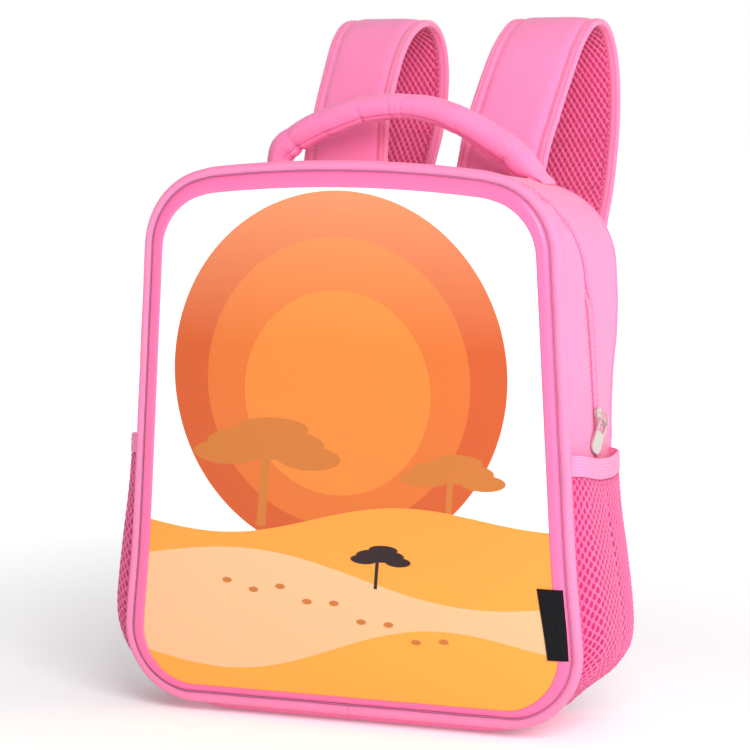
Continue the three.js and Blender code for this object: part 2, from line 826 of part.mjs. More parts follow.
// Axes of a flat strip at a point of its path: across its width and out of its outer face
function stripAxes(path, along, turn = 0) {
  const tangent = path.getTangentAt(along);
  const level = new THREE.Vector3(Math.cos(turn), Math.sin(turn), 0);
  const across = level.addScaledVector(tangent, -tangent.dot(level)).normalize();
  return { tangent, across, outer: new THREE.Vector3().crossVectors(across, tangent) };
}

function strap(path, fullTurn) {
  const heights = { edge: bindThick * 0.35, bind: bindThick / 2, stitch: bindThick * 0.4, pad: strapThick / 2 };
  const sections = range(strapSteps, 0, 1).map((along) => {
    const centre = path.getPointAt(along);
    const turn = fullTurn * readTable(STRAP_TURNS, 'along', along, 'turn');
    const { across, outer } = stripAxes(path, along, turn);
    const line = (sign) => STRAP_SECTION.map((row) => {
      return centre.clone()
        .addScaledVector(across, row.across * strapWidth / 2)
        .addScaledVector(outer, sign * heights[row.part]);
    });
    return { outer: line(1), inner: line(-1) };
  });
  return wall(sections);
}

// Flat strip of even width and thickness along a path
function flatStrip(path, width, thickness, steps) {
  const sections = range(steps, 0, 1).map((along) => {
    const centre = path.getPointAt(along);
    const { across, outer } = stripAxes(path, along);
    const line = (sign) => [-1, 1].map((edge) => {
      return centre.clone()
        .addScaledVector(across, edge * width / 2)
        .addScaledVector(outer, sign * thickness / 2);
    });
    return { outer: line(1), inner: line(-1) };
  });
  return wall(sections);
}

// Plain three-bar adjuster, whose length lies along the webbing
function buckleShape() {
  const shape = new THREE.Shape();
  const w = buckleWidth / 2;
  const l = buckleLength / 2;
  const r = buckleBar;
  shape.moveTo(-w + r, -l);
  shape.lineTo(w - r, -l);
  shape.absarc(w - r, -l + r, r, -Math.PI / 2, 0);
  shape.absarc(w - r, l - r, r, 0, Math.PI / 2);
  shape.absarc(-w + r, l - r, r, Math.PI / 2, Math.PI);
  shape.absarc(-w + r, -l + r, r, Math.PI, Math.PI * 1.5);
  const slot = (buckleLength - 3 * buckleBar) / 2;
  for (const side of [-1, 1]) {
    const hole = new THREE.Path();
    const low = side > 0 ? buckleBar / 2 : -buckleBar / 2 - slot;
    hole.moveTo(-w + buckleBar, low);
    hole.lineTo(-w + buckleBar, low + slot);
    hole.lineTo(w - buckleBar, low + slot);
    hole.lineTo(w - buckleBar, low);
    shape.holes.push(hole);
  }
  return shape;
}

function strapBuckle(position, axes) {
  const geometry = new THREE.ExtrudeGeometry(buckleShape(), {
    depth: buckleThick, bevelEnabled: false, curveSegments: 3,
  });
  geometry.translate(0, 0, -buckleThick / 2);
  const turn = new THREE.Matrix4().makeBasis(axes.across, axes.tangent, axes.outer);
  geometry.applyMatrix4(turn);
  geometry.translate(position.x, position.y, position.z);
  return geometry;
}

for (const [name, side] of [['left', -1], ['right', 1]]) {
  const path = strapPath(name, side);
  add(`strap_${name}`, strap(path, side * degToRad(strapTurn[name])), pinkFabric);
  const tip = path.getPointAt(1);
  const axes = stripAxes(path, 1);
  const centre = tip.clone().addScaledVector(axes.tangent, seamGap + buckleLength / 2);
  add(`strap_buckle_${name}`, strapBuckle(centre, axes), pinkPlastic);
  const start = centre.clone().addScaledVector(axes.tangent, buckleLength / 2 + seamGap);
  const lead = start.clone().addScaledVector(axes.tangent, webLead);
  const anchorY = backFace + seamGap + webThick / 2;
  const course = WEBBING.map(({ down, back }) => new THREE.Vector3(
    lerp(lead.x, side * webAnchorOut, down),
    lerp(anchorY, lead.y, back),
    lerp(lead.z, webAnchor, down),
  ));
  const webPath = new THREE.CatmullRomCurve3([start, ...course], false, 'centripetal');
  add(`strap_webbing_${name}`, flatStrip(webPath, webWidth, webThick, 12), pinkWebbing);
}

// Joined body of two overlapping ones
function join(first, second) {
  const solids = [first, second].map((geometry) => {
    const bare = geometry.clone();
    bare.deleteAttribute('normal');
    bare.deleteAttribute('uv');
    const merged = mergeVertices(bare, 1e-4);
    return new wasm.Manifold(new wasm.Mesh({
      numProp: 3,
      vertProperties: merged.attributes.position.array,
      triVerts: new Uint32Array(merged.index.array),
    }));
  });
  const mesh = solids[0].add(solids[1]).getMesh();
  const geometry = new THREE.BufferGeometry();
  geometry.setAttribute('position', new THREE.BufferAttribute(mesh.vertProperties, 3));
  geometry.setIndex(new THREE.BufferAttribute(mesh.triVerts, 1));
  geometry.computeVertexNormals();
  return geometry;
}

// The slider's frame: x out of the gusset, z up along the zip, origin on the gusset
const sliderGroup = new THREE.Group();
const sliderIndex = indexAtHeight(sliderHeight);
const sliderSeat = skin(sliderIndex, zipDepth(sliderIndex));
const above = skin(sliderIndex - 0.1, zipDepth(sliderIndex - 0.1));
const zipUp = above.clone().sub(sliderSeat).normalize();
const lifted = skin(sliderIndex, zipDepth(sliderIndex), 1).sub(sliderSeat);
const zipOut = lifted.addScaledVector(zipUp, -lifted.dot(zipUp)).normalize();
const zipAcross = new THREE.Vector3().crossVectors(zipUp, zipOut);
sliderGroup.quaternion.setFromRotationMatrix(new THREE.Matrix4().makeBasis(zipOut, zipAcross, zipUp));
sliderGroup.position.copy(sliderSeat);
backpack.add(sliderGroup);

const sliderFace = coilRise + seamGap + sliderThick;
const hingeOut = sliderFace + hingeLift;

// Slider plate with its nose, and the bail that stands on it
function zipSlider() {
  const plate = new THREE.Shape();
  const w = sliderWidth / 2;
  const l = sliderLength / 2;
  plate.moveTo(-w * 0.6, -l);
  plate.lineTo(w * 0.6, -l);
  plate.lineTo(w * 0.8, 0);
  plate.quadraticCurveTo(w, l * 0.5, w * 0.85, l * 0.9);
  plate.quadraticCurveTo(0, l * 1.15, -w * 0.85, l * 0.9);
  plate.quadraticCurveTo(-w, l * 0.5, -w * 0.8, 0);
  const body = new THREE.ExtrudeGeometry(plate, {
    depth: sliderThick, bevelEnabled: false, curveSegments: 3,
  });
  body.rotateX(Math.PI / 2);
  body.rotateZ(Math.PI / 2);
  body.translate(coilRise + seamGap, 0, 0);
  const foot = sliderFace - bailBar / 2;
  const outerX = hingeOut + bailClear + bailBar;
  const legLow = -hingeDrop - bailClear - bailBar;
  const legHigh = l * 0.5;
  const arch = new THREE.Shape();
  arch.moveTo(foot, legLow);
  arch.lineTo(outerX - bailBar, legLow);
  arch.quadraticCurveTo(outerX, legLow, outerX, legLow + bailBar);
  arch.lineTo(outerX, legHigh - 2 * bailBar);
  arch.quadraticCurveTo(outerX, legHigh, outerX - 2 * bailBar, legHigh);
  arch.lineTo(foot, legHigh);
  arch.lineTo(foot, legHigh - bailBar);
  arch.lineTo(outerX - 2 * bailBar, legHigh - bailBar);
  arch.lineTo(outerX - bailBar, legHigh - 2 * bailBar);
  arch.lineTo(outerX - bailBar, legLow + bailBar);
  arch.lineTo(foot, legLow + bailBar);
  const bail = new THREE.ExtrudeGeometry(arch, {
    depth: bailWidth, bevelEnabled: false, curveSegments: 3,
  });
  bail.rotateX(Math.PI / 2);
  bail.translate(0, bailWidth / 2, 0);
  return join(body, bail);
}
add('zip_slider', zipSlider(), zipMetal, sliderGroup);

// Pull tab: a crossbar held in the bail, a window round the bail and a rounded tab
function zipPull() {
  const shape = new THREE.Shape();
  const t = pullTopWidth / 2;
  const e = pullTipWidth / 2;
  const top = crossbar / 2;
  shape.moveTo(-t * 0.7, top);
  shape.lineTo(t * 0.7, top);
  shape.quadraticCurveTo(t, top, t, top - crossbar);
  shape.lineTo(t, -windowLength);
  shape.lineTo(e, -pullLength + e * 0.8);
  shape.quadraticCurveTo(e * 0.9, -pullLength, 0, -pullLength);
  shape.quadraticCurveTo(-e * 0.9, -pullLength, -e, -pullLength + e * 0.8);
  shape.lineTo(-t, -windowLength);
  shape.lineTo(-t, top - crossbar);
  shape.quadraticCurveTo(-t, top, -t * 0.7, top);
  const hole = new THREE.Path();
  const w = windowWidth / 2;
  hole.moveTo(-w, -crossbar / 2);
  hole.lineTo(-w, -crossbar / 2 - windowLength);
  hole.lineTo(w, -crossbar / 2 - windowLength);
  hole.lineTo(w, -crossbar / 2);
  shape.holes.push(hole);
  const tab = new THREE.ExtrudeGeometry(shape, {
    depth: pullThick, bevelEnabled: false, curveSegments: 4,
  });
  tab.rotateX(Math.PI / 2);
  tab.rotateZ(Math.PI / 2);
  tab.translate(-pullThick / 2, 0, 0);
  return tab;
}
// It hangs askew in the bail, towards the front
const pullGroup = new THREE.Group();
pullGroup.position.set(hingeOut, 0, -hingeDrop);
pullGroup.rotation.set(-degToRad(pullSwing), degToRad(pullTilt), degToRad(pullYaw), 'ZYX');
sliderGroup.add(pullGroup);
add('zip_pull', zipPull(), zipMetal, pullGroup);

// Blank label that comes out of the right front seam and lies over the panel's rim
function sideLabel() {
  const insets = [
    { share: 0.0, rise: shoulderRise },
    { share: 0.35, rise: 1.0 },
    { share: 0.6, rise: 1.0 },
    { share: 1.0, rise: 1.0 },
  ];
  const heights = range(3, labelBottom, labelBottom + labelHeight);
  const sections = heights.map((z, i) => {
    const reach = lerp(labelBaseReach, labelTopReach, i / (heights.length - 1));
    const line = (lift) => insets.map(({ share, rise }) => {
      const inset = lerp(labelTuck, reach, share);
      const beyond = clamp((inset - rimSide) / rimSide, 0, 1);
      const face = rimRise * rise + (faceRise(FACE_RINGS[2]) - rimRise) * beyond;
      const hip = hipSwell * Math.exp(-(((z - hipHeight) / hipReach) ** 2));
      return new THREE.Vector3(sideHalf(z, hip - inset), -face - lift, z);
    });
    return { outer: line(labelGap + labelThick), inner: line(labelGap) };
  });
  return wall(sections);
}
add('side_label', sideLabel(), blackLabel);

// The origin is the centre of the part's box on the floor
backpack.updateMatrixWorld(true);
const box = new THREE.Box3().setFromObject(backpack, true);
const middle = box.getCenter(new THREE.Vector3());
backpack.position.set(-middle.x, -middle.y, -box.min.z);
backpack.updateMatrixWorld(true);

export default backpack;
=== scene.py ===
"""Kids backpack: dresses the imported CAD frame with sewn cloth, net, webbing, piping and a moulded,
printed front panel. Run as a script; every length is in metres in the frame of the CAD part."""
import math

import bmesh
import bpy
import numpy as np
from bpy.props import FloatProperty, FloatVectorProperty, PointerProperty
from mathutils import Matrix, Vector


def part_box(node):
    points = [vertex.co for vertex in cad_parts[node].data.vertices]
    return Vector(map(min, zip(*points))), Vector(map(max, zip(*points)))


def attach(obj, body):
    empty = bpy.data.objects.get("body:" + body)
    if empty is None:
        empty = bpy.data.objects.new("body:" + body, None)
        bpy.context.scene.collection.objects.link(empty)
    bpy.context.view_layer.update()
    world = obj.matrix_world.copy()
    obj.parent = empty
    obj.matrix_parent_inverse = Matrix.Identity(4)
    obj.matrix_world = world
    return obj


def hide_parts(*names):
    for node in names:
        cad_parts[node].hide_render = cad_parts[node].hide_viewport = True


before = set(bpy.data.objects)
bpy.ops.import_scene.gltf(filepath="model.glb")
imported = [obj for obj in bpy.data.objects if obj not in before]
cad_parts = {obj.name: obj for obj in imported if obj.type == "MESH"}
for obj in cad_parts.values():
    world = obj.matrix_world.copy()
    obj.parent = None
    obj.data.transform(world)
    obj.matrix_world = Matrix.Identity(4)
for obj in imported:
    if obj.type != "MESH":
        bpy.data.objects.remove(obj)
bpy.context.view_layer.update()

bl_info = {
    "name": "Kids Backpack",
    "version": (1, 0, 0),
    "blender": (4, 5, 0),
    "location": "3D View > Sidebar > Backpack",
    "description": "Dresses the CAD frame of a child's backpack with sewn cloth, net and a printed panel",
    "category": "Object",
}

MM = 0.001
BAG = "bag"
SIDES = {"left": -1, "right": 1}

# Spans of a place on the body's outline, from the top centre down one side to the bottom centre
TOP_END = 4
CORNER_END = 10
JOIN = 13
FLANK_END = 15
BASE_CORNER_END = 20
BOTTOM = 23
PLACE_STEP = 0.02

# Distances below which points of one mesh are joined
POLE_JOIN = 1e-6
CELL_JOIN = 0.02 * MM

# Lights: place and width in metres, and the height that they aim at
LIGHTS = {"key": ((1.15, -1.5, 1.1), 1.1), "fill": ((1.9, 0.2, 1.3), 1.2)}
LIGHT_AIM = 0.18

# Width of the camera's sensor in mm, half width of the floor, and the distance from the part
# where the floor's glow starts to grow and over which it does, in metres
SENSOR_WIDTH = 36
FLOOR_HALF = 12.0
GLOW_START = 0.25
GLOW_REACH = 0.9

# Change of the body from the front seam to the back seam: depth, swell, narrowing, drop and sag
BODY_SECTIONS = (
    (0.0, 0.0, 0.0, 0.0, 0.0),
    (0.11, 0.5, 0.0, 0.08, 0.88),
    (0.2, 0.75, 0.02, 0.16, 1.0),
    (0.3, 1.0, 0.05, 0.25, 1.0),
    (0.55, 1.0, 0.2, 0.5, 1.0),
    (0.8, 0.6, 0.6, 0.8, 1.0),
    (0.92, 0.3, 0.85, 0.93, 1.0),
    (1.0, 0.0, 1.0, 1.0, 0.4),
)

# How much of the back narrowing each height gets, as a share of the seam top
NARROW_HEIGHTS = ((0.0, 1.0), (0.25, 0.95), (0.52, 0.7), (0.64, 0.46), (0.73, 0.12), (0.8, 0.0), (1.1, 0.0))

# Course of the zip: height as a share of the seam top, depth as a share of the body depth
ZIP_COURSE = (
    (0.3, 0.57), (0.42, 0.56), (0.62, 0.53), (0.78, 0.475), (0.86, 0.43),
    (0.9, 0.35), (0.93, 0.28), (0.96, 0.22), (1.0, 0.165), (1.1, 0.165),
)

# The gap over the zip: half width where it is shut, height below which it opens, over what rise
ZIP_SHUT = 1.0 * MM
ZIP_OPEN_BELOW = 258 * MM
ZIP_OPEN_OVER = 16 * MM
ZIP_SEAM = 1.7 * MM

# Cloth strips: their start behind the front seam, their end before the back seam, the reach over
# which they sink into a seam, the reach of a pleat, and the depth of their inner face
CLOTH_START = 4.1 * MM
CLOTH_END = 0.3 * MM
SEAM_REACH = 2.2 * MM
PLEAT_REACH = 9 * MM
CLOTH_INNER = 2.6 * MM

# Pleats at the corners: place, reach and height in mm
PLEATS = (
    (6.2, 0.16, 0.5), (6.9, 0.14, -0.45), (7.5, 0.18, 0.5), (8.3, 0.16, -0.4), (9.0, 0.2, 0.35),
    (16.2, 0.2, 0.4), (17.1, 0.2, -0.35),
)

# Section of the moulded rim: inset and rise in mm, or inset as a share of the rim where marked 1
RIM_SECTION = (
    (0.75, -2.2, 0), (0.5, -0.6, 0), (0.42, 0.6, 0), (0.58, 1.6, 0), (1.0, 2.4, 0), (1.7, 3.0, 0),
    (2.6, 3.4, 0), (3.6, 3.62, 0), (0.45, 3.74, 1), (0.7, 3.8, 1), (0.86, 3.72, 1), (0.94, 3.52, 1),
    (0.965, 3.28, 1), (0.985, 3.24, 1), (1.0, 3.34, 1),
)
RIM_ROUND = 3.6 * MM

# Rings of the printed face and of its back, from the rim to the middle, and of the padded back
FACE_RINGS = (0.996, 0.991, 0.98, 0.96, 0.92, 0.86, 0.78, 0.68, 0.56, 0.42, 0.26, 0.1, 0.0)
FACE_BACK_RINGS = ((0.0, 1.6), (0.6, 1.6), (0.985, 2.4))
BACK_INNER_RINGS = (0.0, 0.6, 0.9, 1.0)
BACK_RINGS = (
    0.995, 0.98, 0.955, 0.92, 0.88, 0.83, 0.78, 0.72, 0.66, 0.6, 0.53, 0.46, 0.39, 0.32, 0.25, 0.18, 0.11,
    0.04, 0.0,
)
BACK_EDGE = 1.2 * MM
BACK_CHANNELS = (95 * MM, 215 * MM)

# Section of the zip: distance from its middle and stand-off, in mm
ZIP_SECTION = (
    (-4.2, -0.5), (-3.2, -0.25), (-2.75, -0.05), (-2.4, 0.3), (-1.9, 0.55), (-1.2, 0.65), (-0.55, 0.6),
    (-0.15, 0.4), (0.15, 0.4), (0.55, 0.6), (1.2, 0.65), (1.9, 0.55), (2.4, 0.3), (2.75, -0.05),
    (3.2, -0.25), (4.2, -0.5),
)
COIL_PITCH = 1.7 * MM
COIL_HALF = 2.6 * MM

# Softness of the edges in the print, in mm
PRINT_EDGE = 0.35

# Side pockets: front and back edge behind the front seam, and stand-off at their edges
POCKET_FRONT = 5.0 * MM
POCKET_BACK = 84.4 * MM
POCKET_LIFT = 0.9 * MM
BAND_RIBS = 7

# Side pockets: fullest stand-off, share of it at the mouth, and how strongly they tuck in below
POCKETS = {"left": (17 * MM, 0.73, 1.0), "right": (12.5 * MM, 0.56, 3.5)}
POCKET_DOWN = (
    (0.0, 0.0, 1.0), (0.12, 0.35, 1.0), (0.25, 0.8, 1.0), (0.38, 1.0, 1.0), (0.55, 1.0, 1.0),
    (0.68, 1.0, 0.9), (0.82, 1.0, 0.62), (0.92, 1.0, 0.3), (1.0, 1.0, 0.0),
)
POCKET_ALONG = (
    (0.0, 0.0, 0.0), (0.035, 0.55, 0.05), (0.085, 0.86, 0.2), (0.18, 0.97, 0.5), (0.34, 1.0, 0.85),
    (0.56, 0.97, 1.0), (0.76, 1.0, 0.8), (0.9, 0.88, 0.6), (0.96, 0.58, 0.55), (1.0, 0.0, 0.5),
)

# Carry handle: place out from the middle, rise and thickness, as shares
HANDLE_ARCH = (
    (-1.0, 0.0, 1.12), (-0.94, 0.36, 1.04), (-0.83, 0.53, 1.0), (-0.67, 0.7, 1.0), (-0.52, 0.81, 0.98),
    (-0.39, 0.9, 0.95), (-0.21, 0.97, 0.9), (0.0, 1.0, 0.86), (0.21, 0.955, 0.9), (0.39, 0.85, 0.96),
    (0.52, 0.74, 1.0), (0.66, 0.585, 1.03), (0.82, 0.39, 1.05), (0.93, 0.21, 1.08), (1.0, 0.0, 1.12),
)

# Creases round the handle: place out from the middle, pinch and reach, as shares of the half span
HANDLE_CREASES = (
    (-0.985, 0.1, 0.03), (-0.92, 0.07, 0.02), (-0.84, 0.17, 0.02), (-0.6, 0.05, 0.02), (-0.31, 0.16, 0.017),
    (-0.08, 0.13, 0.015), (0.015, 0.1, 0.013), (0.1, 0.05, 0.012), (0.46, 0.05, 0.02), (0.835, 0.14, 0.017),
)
HANDLE_FLAT = 0.9
HANDLE_TAB = 0.56
HANDLE_TIP = 1.12

# Shoulder straps: shares of the reach behind the back, the rise above and the fall below the
# root, and the splay
STRAP_LOOPS = {
    "left": (
        (0, 0, 0.013, 0), (0.004, 0.08, 0, 0), (0.03, 0.22, 0, 0.02), (0.1, 0.425, 0, 0.04),
        (0.2, 0.606, 0, 0.07), (0.33, 0.8, 0, 0.1), (0.447, 0.914, 0, 0.13), (0.565, 0.98, 0, 0.15),
        (0.7, 1, 0, 0.17), (0.81, 0.965, 0, 0.19), (0.9, 0.87, 0, 0.2), (0.945, 0.717, 0, 0.21),
        (0.94, 0.545, 0, 0.22), (0.885, 0.343, 0, 0.23), (0.78, 0.13, 0, 0.25), (0.64, 0, 0.08, 0.28),
        (0.52, 0, 0.28, 0.37), (0.41, 0, 0.52, 0.55), (0.3, 0, 0.787, 0.8), (0.23, 0, 1, 1),
    ),
    "right": (
        (0, 0, 0.013, 0), (0.005, 0.07, 0, 0), (0.04, 0.18, 0, 0.02), (0.097, 0.313, 0, 0.03),
        (0.184, 0.465, 0, 0.06), (0.293, 0.636, 0, 0.09), (0.375, 0.753, 0, 0.11),
        (0.455, 0.848, 0, 0.12), (0.555, 0.934, 0, 0.13), (0.655, 0.99, 0, 0.14), (0.76, 1.005, 0, 0.15),
        (0.855, 0.97, 0, 0.16), (0.93, 0.875, 0, 0.17), (0.97, 0.737, 0, 0.19), (0.985, 0.586, 0, 0.2),
        (0.973, 0.384, 0, 0.21), (0.93, 0.182, 0, 0.22), (0.86, 0, 0.013, 0.24), (0.735, 0, 0.147, 0.29),
        (0.615, 0, 0.32, 0.4), (0.515, 0, 0.547, 0.57), (0.43, 0, 0.787, 0.8), (0.32, 0, 0.987, 1),
    ),
}

# Shoulder straps: distance of a root from the middle, stand-off from the back, spread, reach,
# rise, fall, and height of the root
STRAP_SPLIT = 49.5 * MM
STRAP_OFF = 2.8 * MM
STRAP_SPLAY = 30 * MM
STRAP_REACH = 110 * MM
STRAP_RISE = 99 * MM
STRAP_FALL = 150 * MM
STRAP_ROOT = 300 * MM

# How far each strap twists, and where along it
STRAP_TWIST = {"left": math.radians(12), "right": math.radians(6)}
STRAP_TURNS = ((0.0, 0.0), (0.06, 0.3), (0.12, 1.0), (0.2, 1.0), (0.3, 0.3), (0.38, 0.0), (1.0, 0.0))

# Half section of a strap: share of the half width, outer height and inner height
STRAP_SECTION = (
    (0.0, 2.9 * MM, 2.1 * MM), (0.45, 2.8 * MM, 2.0 * MM), (0.66, 2.4 * MM, 1.6 * MM),
    (0.73, 1.5 * MM, 1.1 * MM), (0.76, 1.05 * MM, 0.9 * MM), (0.79, 1.5 * MM, 1.4 * MM),
    (0.84, 2.1 * MM, 2.0 * MM), (0.885, 2.0 * MM, 1.95 * MM), (0.9, 1.65 * MM, 1.6 * MM),
    (0.915, 2.0 * MM, 1.95 * MM), (0.95, 1.9 * MM, 1.85 * MM), (0.985, 1.1 * MM, 1.1 * MM),
    (1.0, 0.0, 0.0),
)
STITCH_PLACE = 0.76
BINDING_START = 0.775
MESH_EDGE = 0.74
MESH_SLANT = 0.35

# Course of the webbing from the adjuster to its anchor
WEBBING_COURSE = ((0.0, 1.0), (0.3, 0.66), (0.6, 0.33), (0.82, 0.09), (0.9, 0.0), (1.0, 0.0))


def length(name, default, description):
    return FloatProperty(name=name, default=default, description=description, unit="LENGTH", precision=4)


def share(name, default, description):
    return FloatProperty(name=name, default=default, description=description, subtype="FACTOR", min=0, max=1)


def tint(name, code, description):
    """Colour property whose default is an sRGB colour code such as 0xff9fcb."""
    parts = [(code >> shift & 255) / 255 for shift in (16, 8, 0)]
    linear = [c / 12.92 if c <= 0.04045 else ((c + 0.055) / 1.055) ** 2.4 for c in parts]
    return FloatVectorProperty(name=name, default=linear, description=description, subtype="COLOR",
                               min=0, max=1)


class BodySizes(bpy.types.PropertyGroup):
    depth: length("Depth", 90 * MM, "From the front seam to the back seam")
    seam_top: length("Seam top", 310 * MM, "Height of the front seam at its corners")
    seam_bottom: length("Seam bottom", 12 * MM, "Height of the front seam at its base")
    shoulder_half: length("Shoulder half width", 121.4 * MM, "Half width at the top of the sides")
    base_half: length("Base half width", 137.8 * MM, "Half width at the base of the sides")
    top_radius: length("Top corner radius", 41 * MM, "Radius of the top corners at the front")
    back_top_radius: length("Back corner radius", 48 * MM, "Radius of the top corners at the back")
    base_radius: length("Base corner radius", 36 * MM, "Radius of the lower corners at the front seam")
    floor_radius: length("Floor corner radius", 60 * MM, "Radius of the lower corners behind it")
    crown_rise: length("Crown rise", 5.2 * MM, "Rise of the middle of the top")
    crown_half: length("Crown half width", 90 * MM, "Half width of the crown")
    hip_swell: length("Hip swell", 2 * MM, "Swell of the sides low down")
    hip_height: length("Hip height", 48 * MM, "Height of that swell")
    hip_reach: length("Hip reach", 35 * MM, "Reach of that swell up and down")
    side_swell: length("Side swell", 1 * MM, "Swell of the padded sides")
    back_narrowing: length("Back narrowing", 12 * MM, "How much narrower the back is")
    top_drop: length("Top drop", 6 * MM, "How much lower the back's top is")
    back_thick: length("Back thickness", 8 * MM, "Thickness of the padded back")
    piping_radius: length("Piping radius", 3 * MM, "Radius of the piping in the front seam")
    piping_out: length("Piping stand-off", 2.7 * MM, "Distance of the piping's middle outside the seam")
    piping_depth: length("Piping depth", 0.6 * MM, "Depth of the piping's middle behind the seam")
    gusset_join: length("Gusset join", 130 * MM, "Height where the side strips meet the base strip")


class PanelSizes(bpy.types.PropertyGroup):
    rim_side: length("Rim at the sides", 7.7 * MM, "Width of the plain rim at the sides")
    rim_top: length("Rim at the top", 9.6 * MM, "Width of the plain rim at the top")
    rim_bottom: length("Rim at the base", 4.5 * MM, "Width of the plain rim at the base")
    rim_rise: length("Rim rise", 3.5 * MM, "How far the rim stands in front of the seam")
    face_crown: length("Face crown", 2 * MM, "Rise of the middle of the printed face")
    label_bottom: length("Label height", 47 * MM, "Height of the label's lower edge")
    label_height: length("Label size", 39.5 * MM, "Height of the label itself")
    label_top_reach: length("Label reach, top", 16.5 * MM, "How far its upper corner comes out of the seam")
    label_base_reach: length("Label reach, base", 13.5 * MM, "How far its lower corner comes out of the seam")


class SewingSizes(bpy.types.PropertyGroup):
    stitch: length("Stitch", 2.5 * MM, "Length of one stitch")
    stitch_gap: length("Stitch gap", 0.9 * MM, "Gap between stitches")
    thread: length("Thread radius", 0.28 * MM, "Radius of the sewing thread")
    zip_width: length("Zip width", 8 * MM, "Width of the zip tape that shows")
    net_pitch: length("Net pitch", 5.2 * MM, "Distance between holes of the net along a row")
    net_drop: length("Net drop", 5.6 * MM, "Distance between holes of the net down a column")
    net_cord: length("Net thickness", 0.9 * MM, "Thickness of the net")
    mesh_pitch: length("Mesh pitch", 6.2 * MM, "Distance between holes along a strap")
    mesh_across: length("Mesh pitch across", 3.9 * MM, "Distance between holes across a strap")
    hole_share: share("Hole share", 0.65, "Size of a hole as a share of its cell")
    mouth_height: length("Mouth height", 160 * MM, "Height of the pocket mouths at the front")
    mouth_sag: length("Mouth sag", 5 * MM, "Sag of the pocket mouths")
    band_height: length("Band height", 12 * MM, "Height of the elastic bands")
    handle_half: length("Handle half span", 82 * MM, "Half span of the carry handle")
    handle_rise: length("Handle rise", 42 * MM, "Rise of the carry handle")
    handle_thick: length("Handle thickness", 17 * MM, "Thickness of the carry handle")
    handle_depth: length("Handle depth", 75 * MM, "Depth of the carry handle behind the front seam")
    strap_width: length("Strap width", 56 * MM, "Width of the shoulder straps")
    web_width: length("Webbing width", 25 * MM, "Width of the webbing")


class Colours(bpy.types.PropertyGroup):
    cloth: tint("Cloth", 0xFC83B3, "Padded cloth of the sides")
    strap: tint("Strap cloth", 0xFA85B6, "Cloth of the straps and the handle")
    piping: tint("Piping", 0xF782AD, "Piping and bindings")
    rim: tint("Rim", 0xF66C9E, "Moulded rim of the front panel")
    net: tint("Net", 0xF26FA4, "Threads of the pocket net")
    mesh: tint("Strap mesh", 0xF4709F, "Threads of the mesh inside the straps")
    # Mesh holes: a darker pink, painted shade in the depths of the air mesh and under the strap mesh
    mesh_hole: tint("Mesh holes", 0xC63A72, "Depths of the air mesh")
    # Under the net: darker than the side cloth, as painted shade inside the pockets
    lining: tint("Under the net", 0xC02E68, "Cloth behind the pocket net")
    webbing: tint("Webbing", 0xFF94BF, "Webbing, zip tape and elastic")
    thread: tint("Thread", 0xF27FB0, "Sewing thread")
    # Seam cord: its dark mauve is partly the cord's own colour and partly painted shade of the groove between
    # piping and panel
    seam: tint("Seam", 0xAA648F, "Cord in the groove of the front seam")
    zip_line: tint("Zip lines", 0xB02C66, "Woven lines beside the zip's coil")
    plastic: tint("Plastic", 0xE8709F, "Strap adjusters")
    metal: tint("Metal", 0x756E62, "Zip slider and pull")
    label: tint("Label", 0x121216, "Blank label")
    paper: tint("Print ground", 0xFEFEFE, "Ground of the print")
    sun: tint("Print sun", 0xC4521C, "Low sun of the print")
    glow: tint("Print glow", 0xDE8A60, "Upper edge of the sun")
    dune: tint("Print dune", 0xFB9F3A, "Near dune")
    sand: tint("Print sand", 0xEAB587, "Middle dune")
    bark: tint("Print tree", 0xC06E28, "Tree crowns")
    ink: tint("Print ink", 0x220005, "Darkest print colour")


class StageSettings(bpy.types.PropertyGroup):
    azimuth: FloatProperty(name="Azimuth", default=math.radians(25), subtype="ANGLE",
                           description="Turn of the camera to the right of the front")
    elevation: FloatProperty(name="Elevation", default=math.radians(5.234), subtype="ANGLE",
                             description="Height of the camera as an angle")
    distance: length("Distance", 1.930136, "From the camera to what it looks at")
    target_height: length("Target height", 160 * MM, "Height of the target before its offsets")
    target_right: length("Target offset right", 15.763 * MM, "Offset of the target in the picture")
    target_up: length("Target offset up", 39.776 * MM, "Offset of the target in the picture")
    lens: FloatProperty(name="Lens", default=164, description="Focal length in mm on a 36 mm sensor")
    key_power: FloatProperty(name="Key light", default=37, description="Power of the key light in watts")
    fill_power: FloatProperty(name="Side light", default=2, description="Power of the side light in watts")
    world: FloatProperty(name="Surroundings", default=0.5, description="Strength of the white surroundings")
    world_slope: FloatProperty(name="Surroundings slope", default=0.36,
                               description="How much brighter they are on the right")
    floor_glow: FloatProperty(name="Floor glow", default=0.17, description="Light that the floor adds")
    far_glow: FloatProperty(name="Far floor glow", default=0.5, description="More of it away from the part")


def settings(name):
    return getattr(bpy.context.scene, f"bag_{name}")


def curve(rows, column, at):
    """Reads a column of a table by its first column, along a curve that doesn't overshoot."""
    xs = np.array([row[0] for row in rows], float)
    ys = np.array([row[column] for row in rows], float)
    at = np.clip(np.asarray(at, float), xs[0], xs[-1])
    gap = np.diff(xs)
    rise = np.diff(ys) / gap
    slope = np.concatenate((rise[:1], np.zeros(len(xs) - 2), rise[-1:]))
    both = rise[:-1] * rise[1:]
    total = rise[:-1] + rise[1:]
    slope[1:-1] = np.where(both > 0, 2 * both / np.where(total == 0, 1, total), 0)
    low = np.clip(np.searchsorted(xs, at, side="right") - 1, 0, len(gap) - 1)
    t = (at - xs[low]) / gap[low]
    level = ys[low] * (1 + 2 * t) * (1 - t) ** 2 + ys[low + 1] * t ** 2 * (3 - 2 * t)
    return level + gap[low] * (slope[low] * t * (1 - t) ** 2 - slope[low + 1] * t ** 2 * (1 - t))


def mix(a, b, t):
    return a + (b - a) * t


def ease(t):
    return t * t * (3 - 2 * t)


def bump_at(x, centre, reach):
    return np.exp(-(((x - centre) / reach) ** 2))


